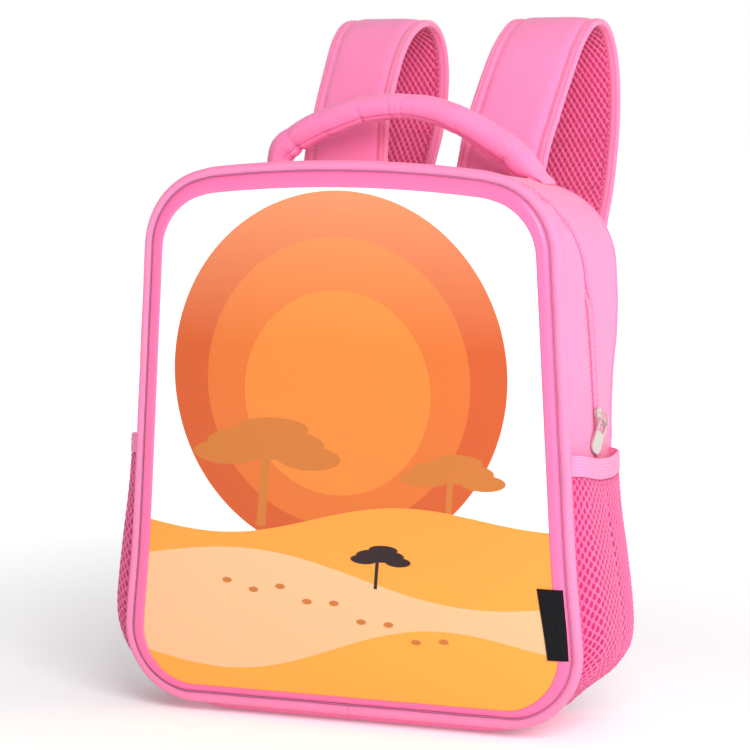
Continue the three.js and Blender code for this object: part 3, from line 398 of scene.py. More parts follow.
def grid(*parts):
    """Arrays spread over each other's shape, as the coordinates of points."""
    return np.stack(np.broadcast_arrays(*parts), -1)


def lengths(line):
    """Length along a line of points up to each of them."""
    return np.concatenate(([0.0], np.cumsum(np.linalg.norm(np.diff(line, axis=0), axis=1))))


def turns(count):
    """Angles round a section, evenly spaced."""
    return np.linspace(0, 2 * math.pi, count, endpoint=False)


def all_round(count):
    """Places all round the body's outline, evenly spaced."""
    return np.linspace(-BOTTOM, BOTTOM, count, endpoint=False)


def between(at, along, table):
    """Rows of a table read at lengths along it."""
    return np.stack([np.interp(at, along, table[:, axis]) for axis in range(3)], -1)


def unit(vectors):
    return vectors / np.linalg.norm(vectors, axis=-1, keepdims=True)


def square(vectors, ahead):
    """Directions turned square to a line that runs ahead."""
    return unit(vectors - (vectors * ahead).sum(1, keepdims=True) * ahead)


def mended(mesh, work):
    """Runs bmesh work on a mesh."""
    bm = bmesh.new()
    bm.from_mesh(mesh)
    work(bm)
    bm.to_mesh(mesh)
    bm.free()


def drawn_in(outline, pole, reach, y=0.0):
    """A copy of an outline drawn in towards a pole, at a depth."""
    ring = pole + (outline - pole) * reach
    ring[:, 1] = y
    return ring


class Body:
    """Form of the bag's body: points on its outlines and on the skin of its sides."""

    def __init__(self):
        self.size = settings("body")
        low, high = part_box("front_panel")
        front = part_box("front_piping")[0].y + self.size.piping_radius - self.size.piping_depth
        self.origin = np.array(((low.x + high.x) / 2, front, 0))

    def side(self, z):
        s = self.size
        return mix(s.base_half, s.shoulder_half, (z - s.seam_bottom) / (s.seam_top - s.seam_bottom))

    def rounded(self, place, grow, top, bottom, top_r, base_r, narrow=0.0, swell=0.0, drop=0.0):
        """x and z of a place on a rounded outline, negative places being on the left."""
        s = self.size
        at = np.abs(place)
        lean = math.atan((s.base_half - s.shoulder_half) / (s.seam_top - s.seam_bottom))
        top_z = top - top_r
        top_x = self.side(top_z) + grow - top_r / math.cos(lean)
        base_z = bottom + base_r
        base_x = self.side(base_z) + grow - base_r / math.cos(lean)
        corner = mix(math.pi / 2, lean, np.clip((at - TOP_END) / (CORNER_END - TOP_END), 0, 1))
        low = mix(lean, -math.pi / 2, np.clip((at - FLANK_END) / (BASE_CORNER_END - FLANK_END), 0, 1))
        upper_z = mix(top_z + top_r * math.sin(lean), s.gusset_join, (at - CORNER_END) / (JOIN - CORNER_END))
        lower_z = mix(s.gusset_join, base_z + base_r * math.sin(lean), (at - JOIN) / (FLANK_END - JOIN))
        spans = [at < TOP_END, at < CORNER_END, at < JOIN, at < FLANK_END, at < BASE_CORNER_END]
        x = np.select(spans, [
            top_x * at / TOP_END,
            top_x + top_r * np.cos(corner),
            self.side(upper_z) + grow,
            self.side(lower_z) + grow,
            base_x + base_r * np.cos(low),
        ], base_x * (1 - (at - BASE_CORNER_END) / (BOTTOM - BASE_CORNER_END)))
        z = np.select(spans, [
            top + 0 * at,
            top_z + top_r * np.sin(corner),
            upper_z,
            lower_z,
            base_z + base_r * np.sin(low),
        ], bottom + 0 * at)
        middle = (s.seam_top + s.seam_bottom) / 2
        upper = np.clip((z - middle) / (s.seam_top - middle), 0, 1)
        crown = np.where(z > middle, s.crown_rise * np.clip(1 - (x / s.crown_half) ** 2, 0, 1), 0)
        hip = s.hip_swell * bump_at(z, s.hip_height, s.hip_reach)
        narrowing = s.back_narrowing * narrow * curve(NARROW_HEIGHTS, 1, z / s.seam_top)
        wider = 1 + (hip + s.side_swell * swell - narrowing) / s.base_half
        return np.sign(place) * x * wider, z + crown - s.top_drop * drop * upper ** 2

    def lifted(self, outline, place, y, lift):
        """Points on an outline, lifted along its own normal."""
        place = np.asarray(place, float)
        wrap = lambda p: (p + BOTTOM) % (2 * BOTTOM) - BOTTOM
        x, z = outline(place)
        before = outline(wrap(place - PLACE_STEP))
        after = outline(wrap(place + PLACE_STEP))
        dx, dz = after[0] - before[0], after[1] - before[1]
        size = np.hypot(dx, dz)
        x, z = x - dz / size * lift, z + dx / size * lift
        return grid(x, np.asarray(y, float), z) + self.origin

    def skin(self, place, y, lift=0.0):
        """Points on the outer face of the sides at a depth behind the front seam."""
        s = self.size
        place, y = np.broadcast_arrays(np.asarray(place, float), np.asarray(y, float))
        swell, narrow, drop, sag = (curve(BODY_SECTIONS, c, y / s.depth) for c in (1, 2, 3, 4))
        shape = dict(
            grow=s.piping_out,
            top=s.seam_top + s.piping_out,
            bottom=(s.seam_bottom - s.piping_out) * (1 - sag),
            top_r=mix(s.top_radius, s.back_top_radius, drop) + s.piping_out,
            base_r=mix(s.base_radius, s.floor_radius, sag) + s.piping_out,
            narrow=narrow, swell=swell, drop=drop,
        )
        return self.lifted(lambda p: self.rounded(p, **shape), place, y, lift)

    def panel(self, place, y, side, top, bottom):
        """Points on an outline drawn in from the front seam."""
        s = self.size
        shape = dict(
            grow=-side,
            top=s.seam_top - top,
            bottom=s.seam_bottom + bottom,
            top_r=s.top_radius - min(side, top),
            base_r=s.base_radius - min(side, bottom),
        )
        return self.lifted(lambda p: self.rounded(p, **shape), place, y, 0.0)

    def zip_depth(self, place):
        place = np.asarray(place, float)
        z = self.skin(place, 0.0)[..., 2]
        z = np.where(np.abs(place) < TOP_END, self.size.seam_top, z)
        return self.size.depth * curve(ZIP_COURSE, 1, z / self.size.seam_top)

    def zip_half(self, place, full):
        """Half width of the gap over the zip, which closes to a thin line above the shoulders."""
        z = self.skin(place, 0.0)[..., 2]
        share_open = np.clip((ZIP_OPEN_BELOW - z) / ZIP_OPEN_OVER, 0, 1)
        return mix(ZIP_SHUT, full, ease(share_open))

    def place_at(self, z):
        """Place on the straight side at a height."""
        s = self.size
        lean = math.atan((s.base_half - s.shoulder_half) / (s.seam_top - s.seam_bottom))
        radius = s.top_radius + s.piping_out
        side_top = s.seam_top + s.piping_out - radius + radius * math.sin(lean)
        return CORNER_END + (JOIN - CORNER_END) * (side_top - z) / (side_top - s.gusset_join)

    def top_height(self, x, y):
        """Height of the top face over a point, in the frame of the part."""
        places = np.linspace(0, CORNER_END, 120)
        line = self.skin(places, y)
        return np.interp(np.abs(x - self.origin[0]), line[:, 0] - self.origin[0], line[:, 2])

    def girth(self, places):
        """Length along the outline up to each place, in metres."""
        return lengths(self.skin(places, self.size.depth / 2))

    def loop_girth(self, places):
        """The same for places that run all the way round."""
        return self.girth(np.append(places, BOTTOM))[:-1]


def spline(points, count):
    """Evenly spaced points and directions on a centripetal curve through the given points."""
    points = np.asarray(points, float)
    ends = np.vstack((2 * points[0] - points[1], points, 2 * points[-1] - points[-2]))
    knots = np.concatenate(([0.0], np.cumsum(np.linalg.norm(np.diff(ends, axis=0), axis=1) ** 0.5)))
    dense = []
    for i in range(1, len(points)):
        t = np.linspace(knots[i], knots[i + 1], 24, endpoint=False)[:, None]
        k = knots[i - 1:i + 3]
        p = ends[i - 1:i + 3]
        a = [mix(p[j], p[j + 1], (t - k[j]) / (k[j + 1] - k[j])) for j in range(3)]
        b = [mix(a[j], a[j + 1], (t - k[j]) / (k[j + 2] - k[j])) for j in range(2)]
        dense.append(mix(b[0], b[1], (t - k[1]) / (k[2] - k[1])))
    dense = np.vstack(dense + [points[-1:]])
    along = lengths(dense)
    at = np.linspace(0, along[-1], count)
    line = between(at, along, dense)
    ahead = np.gradient(line, axis=0)
    return line, unit(ahead), at


def soft_noise(u, v, seed=0.0):
    """Smooth noise between about -1 and 1 over two coordinates, the same on every run."""
    total = np.zeros(np.broadcast(u, v).shape)
    for k in range(1, 6):
        a = 2.4 * k + seed
        total = total + np.sin(u * math.cos(a) * k + v * math.sin(a) * k + 1.7 * a) / k ** 0.7
    return total / 2.6


def quads(rows, columns, loop_rows=False, loop_columns=False):
    """Corner numbers of the faces of a grid of points."""
    i = np.arange(rows if loop_rows else rows - 1)[:, None]
    j = np.arange(columns if loop_columns else columns - 1)[None, :]
    below = (i + 1) % rows
    beyond = (j + 1) % columns
    return grid(i * columns + j, i * columns + beyond, below * columns + beyond,
                below * columns + j).reshape(-1, 4)


def build(name, points, faces, flat=None, finishes=(), face_finish=None, crease=40):
    """Mesh object from points and faces, with its flat cloth coordinates in mm as a UV map."""
    mesh = bpy.data.meshes.new(name)
    mesh.from_pydata(np.asarray(points).reshape(-1, 3).tolist(), [], [list(map(int, f)) for f in faces])
    if flat is not None:
        layer = mesh.uv_layers.new(name="cloth")
        corner = np.empty(len(mesh.loops), np.int32)
        mesh.loops.foreach_get("vertex_index", corner)
        layer.data.foreach_set("uv", (np.asarray(flat).reshape(-1, 2)[corner] / MM).ravel())
    for finish in finishes:
        mesh.materials.append(finish)
    if face_finish is not None:
        mesh.polygons.foreach_set("material_index", np.asarray(face_finish, np.int32))
    mesh.validate()
    piece = bpy.data.objects.new(name, mesh)
    bpy.context.scene.collection.objects.link(piece)
    face_out(mesh)
    mesh.shade_smooth()
    mesh.set_sharp_from_angle(angle=math.radians(crease))
    return piece


def face_out(mesh):
    """Turns the faces of closed pieces outwards."""
    mended(mesh, lambda bm: bmesh.ops.recalc_face_normals(bm, faces=bm.faces))


def loft(name, rings, flat, finishes, face_finish=None, closed=False, crease=40):
    """Closed piece through rings of points. Open ends are closed by a cap."""
    rows, columns = rings.shape[:2]
    faces = quads(rows, columns, closed, True).tolist()
    marks = None if face_finish is None else list(np.asarray(face_finish).ravel())
    if not closed:
        faces.append(list(range(columns)))
        faces.append(list(range((rows - 1) * columns, rows * columns))[::-1])
        if marks is not None:
            marks += [marks[0], marks[-1]]
    return build(name, rings, faces, flat, finishes, marks, crease)


def close_pole(piece):
    """Merges the points that meet in the middle of a face and of its back."""
    mended(piece.data, lambda bm: bmesh.ops.remove_doubles(bm, verts=bm.verts, dist=POLE_JOIN))


def strip_ring(outer, inner):
    """Joins an outer and an inner line of points, per row, into rings."""
    return np.concatenate((outer, inner[:, ::-1]), axis=1)


def strip_flat(u, v_outer, back_shift=60 * MM):
    """Flat coordinates of such rings, with the inner line on its own stretch of cloth."""
    rows = len(u)
    outer = grid(np.asarray(u)[:, None], v_outer)
    inner = outer[:, ::-1] + np.array((0.0, back_shift))
    return np.concatenate((outer, inner), axis=1).reshape(rows, -1, 2)


def finish_piece(piece, replaces=()):
    """Hides the CAD solids that the piece stands for and hangs it on the bag's empty."""
    if replaces:
        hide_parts(*replaces)
    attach(piece, BAG)


def stitches(name, line, out, finish):
    """Row of separate stitches along a line of points, each a small bowed thread."""
    sewing = settings("sewing")
    step = sewing.stitch + sewing.stitch_gap
    along = lengths(line)
    count = int(along[-1] / step)
    starts = (np.arange(count) + 0.5) * along[-1] / count
    share_of = np.linspace(-0.5, 0.5, 5)
    at = starts[:, None] + share_of[None, :] * sewing.stitch
    where = between(at, along, line)
    normal = unit(between(at, along, out))
    across = np.cross(unit(np.gradient(where, axis=1)), normal)
    bow = (1 - (2 * share_of) ** 4) * sewing.thread * 1.2 - sewing.thread * 0.5
    width = sewing.thread * (1 - 0.45 * (2 * np.abs(share_of)) ** 3)
    turn = turns(6)
    ring = (where[:, :, None] + normal[:, :, None] * (bow[None, :, None, None]
            + width[None, :, None, None] * np.cos(turn)[None, None, :, None])
            + across[:, :, None] * width[None, :, None, None] * np.sin(turn)[None, None, :, None] * 1.15)
    faces = []
    tube = quads(5, 6, False, True)
    for k in range(count):
        base = k * 30
        faces += (tube + base).tolist()
        faces.append([base + j for j in range(6)])
        faces.append([base + 24 + j for j in reversed(range(6))])
    piece = build(name, ring, faces, finishes=[finish], crease=80)
    finish_piece(piece)


class Field:
    """A number that varies over a surface. Expressions on it add Math nodes."""

    def __init__(self, shader, socket):
        self.shader = shader
        self.socket = socket

    def __add__(self, other):
        return self.shader.math("ADD", self, other)

    def __sub__(self, other):
        return self.shader.math("SUBTRACT", self, other)

    def __rsub__(self, other):
        return self.shader.math("SUBTRACT", other, self)

    def __mul__(self, other):
        return self.shader.math("MULTIPLY", self, other)

    def __truediv__(self, other):
        return self.shader.math("DIVIDE", self, other)

    def __pow__(self, other):
        return self.shader.math("POWER", self, other)

    def __abs__(self):
        return self.shader.math("ABSOLUTE", self)

    __radd__ = __add__
    __rmul__ = __mul__


class Nodes:
    """Nodes of one tree, added by expressions and by name."""

    def __init__(self, tree):
        self.tree = tree

    def node(self, kind, options=None, inputs=None):
        """Adds a node: its settings first, then the values or links of its sockets."""
        node = self.tree.nodes.new(kind)
        for key, value in (options or {}).items():
            setattr(node, key, value)
        for key, value in (inputs or {}).items():
            self.feed(node.inputs[key], value)
        return node

    def feed(self, socket, value):
        if isinstance(value, Field):
            self.tree.links.new(value.socket, socket)
        elif isinstance(value, bpy.types.NodeSocket):
            self.tree.links.new(value, socket)
        else:
            wide = hasattr(value, "__len__")
            short = wide and len(socket.default_value) > len(value)
            socket.default_value = (*value, 1.0) if short else value

    def math(self, operation, *values):
        node = self.node("ShaderNodeMath", {"operation": operation}, dict(enumerate(values)))
        return Field(self, node.outputs[0])

    def limit(self, value):
        """The value held between 0 and 1."""
        node = self.node("ShaderNodeClamp", None, {"Value": value})
        return Field(self, node.outputs[0])

    def step(self, value, softness):
        """0 below 0 and 1 above it, with an edge of the given softness."""
        return self.limit(value / softness + 0.5)

    def sine(self, value):
        return self.math("SINE", value)

    def larger(self, a, b):
        return self.math("MAXIMUM", a, b)

    def cloth(self):
        """Flat cloth coordinates in mm."""
        uv = self.node("ShaderNodeUVMap", {"uv_map": "cloth"})
        parts = self.node("ShaderNodeSeparateXYZ", None, {0: uv.outputs[0]})
        return Field(self, parts.outputs[0]), Field(self, parts.outputs[1])

    def place(self):
        """Coordinates in the frame of the part, in mm."""
        spot = self.node("ShaderNodeTexCoord").outputs["Object"]
        large = self.node("ShaderNodeVectorMath", {"operation": "SCALE"}, {0: spot, "Scale": 1 / MM})
        parts = self.node("ShaderNodeSeparateXYZ", None, {0: large.outputs[0]})
        return tuple(Field(self, parts.outputs[k]) for k in range(3))

    def vector(self, x, y, z=0.0):
        return self.node("ShaderNodeCombineXYZ", None, {0: x, 1: y, 2: z}).outputs[0]

    def noise(self, vector, scale, detail=2.0):
        node = self.node("ShaderNodeTexNoise", None, {"Vector": vector, "Scale": scale, "Detail": detail})
        return Field(self, node.outputs["Fac"])

    def speckle(self, scale, detail=3.0):
        """Noise over the part's own space."""
        return self.noise(self.node("ShaderNodeTexCoord").outputs["Object"], scale, detail)

    def blend(self, factor, a, b):
        """Colour a where the factor is 0 and b where it is 1."""
        node = self.node("ShaderNodeMix", {"data_type": "RGBA"}, {"Factor": factor})
        self.feed(node.inputs[6], a)
        self.feed(node.inputs[7], b)
        return node.outputs[2]

    def shade(self, colour, factor):
        """A colour made lighter or darker by a field around 1."""
        hsv = self.node("ShaderNodeHueSaturation", None, {"Color": colour, "Value": factor})
        return hsv.outputs[0]


class Shader(Nodes):
    """A material under construction: a surface shader and the nodes that vary it."""

    def __init__(self, name, **constants):
        self.material = bpy.data.materials.new(name)
        self.material.use_nodes = True
        super().__init__(self.material.node_tree)
        self.surface = self.tree.nodes["Principled BSDF"]
        for socket, value in constants.items():
            label = socket.replace("_", " ").title().replace("Ior", "IOR")
            self.surface.inputs[label].default_value = value

    def relief(self, height, distance, strength=1.0):
        """Small relief of the given depth in metres."""
        node = self.node("ShaderNodeBump", None,
                         {"Height": height, "Distance": distance, "Strength": strength})
        self.feed(self.surface.inputs["Normal"], node.outputs[0])

    def colour(self, value):
        self.feed(self.surface.inputs["Base Color"], value)

    def rough(self, value):
        self.feed(self.surface.inputs["Roughness"], value)


def dark(colour, factor):
    return tuple(c * factor for c in colour)


def wave(s, value, pitch):
    """Wave between 0 and 1 with the given pitch, in the value's own unit."""
    return s.sine(value * (2 * math.pi / pitch)) * 0.5 + 0.5


def twill_cloth(name, colour, pitch=0.95, depth=0.16, roughness=0.82, contrast=0.1):
    """Fine twill: slanting ribs, crossed by the threads that make them."""
    s = Shader(name, sheen_weight=0.25, sheen_roughness=0.45, specular_ior_level=0.25)
    u, v = s.cloth()
    rib = wave(s, u + v * 0.9, pitch)
    threads = wave(s, u - v * 0.35, pitch * 0.55)
    weave = rib * 0.7 + threads * 0.3
    fleck = s.noise(s.vector(u, v), 1.9, 2.0)
    cloud = s.speckle(26, 3.0)
    s.relief(weave + fleck * 0.5, depth * MM, 0.9)
    lightness = weave * contrast + fleck * 0.08 + cloud * 0.1 + (0.92 - contrast * 0.5)
    s.colour(s.shade(colour, lightness))
    s.rough(roughness - weave * 0.1)
    return s.material


def ribbed_webbing(name, colour, pitch=1.5, depth=0.28, roughness=0.7):
    """Webbing or elastic: ribs along its length, crossed by fine threads."""
    s = Shader(name, sheen_weight=0.2, specular_ior_level=0.3)
    u, v = s.cloth()
    rib = wave(s, v, pitch)
    threads = wave(s, u + v * 0.5, 0.8)
    fleck = s.noise(s.vector(u, v), 1.2, 2.0)
    s.relief(rib * 0.7 + threads * 0.3 + fleck * 0.2, depth * MM)
    s.colour(s.shade(colour, rib * 0.1 + threads * 0.07 + fleck * 0.08 + 0.84))
    s.rough(roughness - rib * 0.1)
    return s.material


def zip_weave(name, colour, line_colour):
    """Zip tape: slanting coil turns between two dotted woven lines."""
    s = Shader(name, roughness=0.55, sheen_weight=0.15, specular_ior_level=0.4)
    u, v = s.cloth()
    away = abs(v)
    dots = wave(s, u, 1.15)
    line = s.step(0.62 - abs(away - 2.55), 0.3) * (dots * 0.45 + 0.55)
    coil = wave(s, u + v * 0.75, 1.7)
    tick = s.step(coil - 0.82, 0.25) * s.step(2.2 - away, 0.3)
    marks = s.larger(line, tick * 0.95)
    fleck = s.noise(s.vector(u, v), 2.4, 2.0)
    s.relief(coil * 0.7 + fleck * 0.4, 0.2 * MM)
    s.colour(s.blend(marks, s.shade(colour, fleck * 0.1 + 0.92), line_colour))
    return s.material


def air_mesh(name, colour, hole_shade_colour, pitch=3.3, depth=0.9):
    """Knitted air mesh: staggered round holes between soft cords, the holes painted in a darker colour as
    painted shade in their depths.
    """
    s = Shader(name, roughness=0.85, sheen_weight=0.25, specular_ior_level=0.2)
    u, v = s.cloth()
    across = s.sine(u * (math.pi / pitch * 2)) * 0.5
    down = s.sine(v * (math.pi / pitch * 2)) * 0.5
    cell = s.sine(u * (2 * math.pi / pitch)) * s.sine(v * (2 * math.pi / (pitch * 1.25)))
    fleck = s.noise(s.vector(u, v), 2.2, 2.0)
    hole = s.step(cell + fleck * 0.25 - 0.3, 0.35)
    cord = wave(s, u + v * 0.8, 0.7)
    soft = across * across + down * down
    s.relief((1 - hole) * 0.8 + cord * 0.12 + soft * 0.05, depth * MM)
    thread = s.shade(colour, cord * 0.1 + fleck * 0.12 + 0.84)
    # Painted shade: the holes take the darker hole colour
    s.colour(s.blend(hole, thread, hole_shade_colour))
    return s.material


def net_thread(name, colour):
    """Knitted thread of the pocket net, fuzzy and a little uneven."""
    s = Shader(name, roughness=0.8, sheen_weight=0.3, specular_ior_level=0.2)
    u, v = s.cloth()
    knit = wave(s, u * 0.6 + v, 0.55)
    fleck = s.speckle(420, 2.0)
    s.relief(knit * 0.6 + fleck * 0.6, 0.15 * MM)
    s.colour(s.shade(colour, knit * 0.1 + fleck * 0.14 + 0.84))
    return s.material


def smooth_thread(name, colour):
    s = Shader(name, roughness=0.6, sheen_weight=0.2, specular_ior_level=0.3)
    twist = s.speckle(900, 1.0)
    s.relief(twist, 0.1 * MM)
    s.colour(s.shade(colour, twist * 0.15 + 0.9))
    return s.material


def moulded_skin(name, colour, roughness=0.34):
    """Smooth moulded foam with a fine grain and faint handling marks."""
    s = Shader(name, specular_ior_level=0.45, coat_roughness=0.25)
    grain = s.speckle(1500, 2.0)
    marks = s.speckle(45, 4.0)
    s.relief(grain * 0.5 + marks * 0.5, 0.05 * MM)
    s.colour(s.shade(colour, marks * 0.06 + 0.97))
    s.rough(marks * 0.12 + roughness - 0.06)
    return s.material


def brushed_metal(name, colour):
    """Satin metal with faint brushing along the zip."""
    s = Shader(name, metallic=1.0)
    x, y, z = s.place()
    brush = s.noise(s.vector(x * 6.0, y * 6.0, z * 0.6), 1.0, 3.0)
    marks = s.speckle(350, 3.0)
    s.relief(brush, 0.03 * MM, 0.5)
    s.colour(s.shade(colour, brush * 0.16 + marks * 0.12 + 0.86))
    s.rough(brush * 0.16 + marks * 0.1 + 0.26)
    return s.material


def satin_plastic(name, colour):
    s = Shader(name, specular_ior_level=0.5)
    grain = s.speckle(900, 3.0)
    s.relief(grain, 0.06 * MM)
    s.colour(s.shade(colour, grain * 0.1 + 0.95))
    s.rough(grain * 0.14 + 0.36)
    return s.material


def woven_label(name, colour):
    """Blank woven label: fine crossing threads."""
    s = Shader(name, sheen_weight=0.05, specular_ior_level=0.12)
    u, v = s.cloth()
    warp = wave(s, u, 0.5)
    weft = wave(s, v, 0.42)
    fleck = s.speckle(700, 2.0)
    s.relief(warp * 0.5 + weft * 0.5, 0.1 * MM)
    s.colour(s.shade(colour, warp * 0.4 + weft * 0.3 + fleck * 0.5 + 0.4))
    s.rough(0.8 - warp * 0.08)
    return s.material


def printed_face(name, body, roughness=0.3):
    """Satin printed face: a low sun behind dunes, with flat-topped trees and a trail of prints."""
    hues = settings("colours")
    s = Shader(name, specular_ior_level=0.45)
    px, _, z = s.place()
    x = px - body.origin[0] / MM

    def disc(cx, cz, rx, rz):
        away = ((x - cx) / rx) ** 2.0 + ((z - cz) / rz) ** 2.0
        return s.step(1 - s.math("SQRT", away), PRINT_EDGE / min(rx, rz))

    def below(height):
        return s.step(height - z, PRINT_EDGE)

    def hill(level, swell, pitch, shift, tilt=0.0):
        return s.sine(x * (2 * math.pi / pitch) + shift) * swell + x * tilt + level

    sun = disc(-4.0, 200.0, 104.0, 104.0)
    ring = disc(-4.0, 196.0, 82.0, 82.0)
    core = disc(-4.0, 190.0, 58.0, 58.0)
    glow = s.limit((z - 215.0) / 90.0)
    picture = s.blend(sun, hues.paper, s.blend(glow, hues.sun, hues.glow))
    picture = s.blend(ring * 0.22, picture, hues.dune)
    picture = s.blend(core * 0.3, picture, hues.dune)

    def tree(cx, foot, scale, colour, picture):
        trunk = s.step(scale * 2.2 - abs(x - cx - (z - foot) * 0.08), PRINT_EDGE)
        trunk = trunk * s.step(z - foot, PRINT_EDGE) * s.step(foot + 34.0 * scale - z, PRINT_EDGE)
        mask = trunk
        for dx, dz, rx, rz in ((0, 38, 30, 7.5), (-20, 33, 17, 5.5), (22, 32, 16, 5.5), (4, 45, 18, 5)):
            mask = s.larger(mask, disc(cx + dx * scale + 3, foot + dz * scale, rx * scale, rz * scale))
        return s.blend(mask, picture, colour)

    far = below(hill(118.0, 7.0, 210.0, 0.6, 0.05))
    picture = tree(-52.0, 112.0, 1.25, hues.bark, picture)
    picture = tree(64.0, 116.0, 0.85, hues.bark, picture)
    fade = s.limit((z - 60.0) / 60.0)
    picture = s.blend(far, picture, s.blend(fade, hues.dune, dark(hues.dune, 0.86)))
    middle = below(hill(86.0, 9.0, 260.0, 2.9, -0.06))
    picture = s.blend(middle, picture, hues.sand)
    near = below(hill(44.0, 10.0, 230.0, 0.2, 0.08))
    picture = s.blend(near, picture, hues.dune)
    picture = tree(20.0, 80.0, 0.5, hues.ink, picture)
    steps = None
    for k in range(9):
        cx = -74.0 + 17.0 * k
        cz = 66.0 + 10.0 * math.sin(cx * 2 * math.pi / 260.0 + 2.9) - 0.06 * cx - (4.5 if k % 2 else 0.0)
        spot = disc(cx, cz, 3.1, 1.6)
        steps = spot if steps is None else s.larger(steps, spot)
    picture = s.blend(steps, picture, hues.bark)
    grain = s.speckle(1500, 2.0)
    marks = s.speckle(38, 4.0)
    s.relief(grain * 0.5 + marks * 0.5, 0.04 * MM)
    s.colour(picture)
    s.rough(marks * 0.14 + roughness - 0.06)
    return s.material


# Finishes: what makes each, the names of its colours and its own sizes
FINISHES = {
    "side_twill": (twill_cloth, ("cloth",), 1.2, 0.2, 0.82, 0.16),
    "strap_twill": (twill_cloth, ("strap",), 1.1, 0.16, 0.78, 0.13),
    "piping_satin": (twill_cloth, ("piping",), 0.7, 0.1, 0.6),
    # Air mesh of the back pad and straps: its holes are painted darker, as painted shade
    "air_mesh": (air_mesh, ("strap", "mesh_hole")),
    "net_thread": (net_thread, ("net",)),
    "mesh_thread": (net_thread, ("mesh",)),
    "elastic": (ribbed_webbing, ("webbing",), 1.7, 0.3),
    "webbing": (ribbed_webbing, ("webbing",), 2.2, 0.35),
    "zip_tape": (zip_weave, ("webbing", "zip_line")),
    "sewing_thread": (smooth_thread, ("thread",)),
    # The seam cord's dark mauve is partly painted shade of the groove
    "seam_thread": (smooth_thread, ("seam",)),
    # Cloth behind the pocket net: its dark colour is painted shade
    "net_backing": (twill_cloth, ("lining",), 0.9, 0.12, 0.85),
    # Inner face of the straps under the mesh: painted shade, in the darker hole colour
    "mesh_depth": (twill_cloth, ("mesh_hole",), 0.9, 0.12, 0.9),
    "rim_skin": (moulded_skin, ("rim",)),
    "zip_metal": (brushed_metal, ("metal",)),
    "adjuster_plastic": (satin_plastic, ("plastic",)),
    "label_weave": (woven_label, ("label",)),
}


def finish(name):
    """The named finish, made when it is first asked for."""
    made = bpy.data.materials.get(name)
    if made is not None:
        return made
    if name == "printed_face":
        return printed_face(name, Body())
    maker, hues, *sizes = FINISHES[name]
    colours = [getattr(settings("colours"), hue) for hue in hues]
    return maker(name, *colours, *sizes)


def refinish(node, name):
    """Gives a solid of the CAD part the named finish."""
    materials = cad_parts[node].data.materials
    materials.clear()
    materials.append(finish(name))


class BAG_OT_stage(bpy.types.Operator):
    """Makes the floor, the light and the camera"""
    bl_idname = "bag.stage"
    bl_label = "Stage"

    def execute(self, context):
        stage = settings("stage")
        scene = context.scene
        origin = Body().origin
        azimuth, elevation = stage.azimuth, stage.elevation
        back = Vector((math.sin(azimuth) * math.cos(elevation),
                       -math.cos(azimuth) * math.cos(elevation), math.sin(elevation)))
        right = Vector((math.cos(azimuth), math.sin(azimuth), 0))
        up = back.cross(right)
        target = Vector(origin) + Vector((0, 0, stage.target_height))
        target += right * stage.target_right + up * stage.target_up
        camera = bpy.data.objects.new("camera", bpy.data.cameras.new("camera"))
        scene.collection.objects.link(camera)
        camera.data.lens = stage.lens
        camera.data.sensor_width = SENSOR_WIDTH
        camera.location = target + back * stage.distance
        camera.rotation_euler = back.to_track_quat("Z", "Y").to_euler()
        scene.camera = camera
        scene.view_settings.view_transform = "Standard"
        self.floor(scene, stage)
        for name, (place, width) in LIGHTS.items():
            self.light(scene, name, place, width, getattr(stage, f"{name}_power"))
        self.surroundings(scene, stage)
        return {"FINISHED"}

    @staticmethod
    def surroundings(scene, stage):
        """White all round, which lights the part more from its right than from its left."""
        world = bpy.data.worlds.new("surroundings")
        world.use_nodes = True
        n = Nodes(world.node_tree)
        lit = world.node_tree.nodes["Background"]
        lit.inputs["Color"].default_value = (1, 1, 1, 1)
        way = n.node("ShaderNodeSeparateXYZ", None, {0: n.node("ShaderNodeTexCoord").outputs["Generated"]})
        east, north = Field(n, way.outputs[0]), Field(n, way.outputs[1])
        aside = east * math.cos(stage.azimuth) + north * math.sin(stage.azimuth)
        n.feed(lit.inputs["Strength"], aside * stage.world_slope + stage.world)
        plain = n.node("ShaderNodeBackground", None, {"Color": (1, 1, 1), "Strength": 1.0})
        seen = n.node("ShaderNodeLightPath").outputs["Is Camera Ray"]
        both = n.node("ShaderNodeMixShader", None, {0: seen, 1: lit.outputs[0], 2: plain.outputs[0]})
        n.tree.links.new(both.outputs[0], n.tree.nodes["World Output"].inputs["Surface"])
        scene.world = world

    @staticmethod
    def floor(scene, stage):
        spots = [(x * FLOOR_HALF, y * FLOOR_HALF, 0) for x, y in ((-1, -1), (1, -1), (1, 1), (-1, 1))]
        mesh = bpy.data.meshes.new("floor")
        mesh.from_pydata(spots, [], [(0, 1, 2, 3)])
        s = Shader("floor_white", roughness=0.9, specular_ior_level=0.1, emission_strength=1.0)
        spot = s.node("ShaderNodeTexCoord").outputs["Object"]
        away = Field(s, s.node("ShaderNodeVectorMath", {"operation": "LENGTH"}, {0: spot}).outputs["Value"])
        level = s.limit((away - GLOW_START) / GLOW_REACH) * stage.far_glow + stage.floor_glow
        grey = s.node("ShaderNodeCombineColor", None, {0: level, 1: level, 2: level})
        s.feed(s.surface.inputs["Emission Color"], grey.outputs[0])
        s.colour(s.shade((0.95, 0.95, 0.955), s.speckle(3, 2.0) * 0.02 + 0.99))
        mesh.materials.append(s.material)
        floor = bpy.data.objects.new("floor", mesh)
        scene.collection.objects.link(floor)

    @staticmethod
    def light(scene, name, place, size, power):
        lamp = bpy.data.lights.new(name, "AREA")
        lamp.size = size
        lamp.energy = power
        holder = bpy.data.objects.new(name, lamp)
        holder.location = place
        aim = Vector(place) - Vector((0, 0, LIGHT_AIM))
        holder.rotation_euler = aim.to_track_quat("Z", "Y").to_euler()
        scene.collection.objects.link(holder)


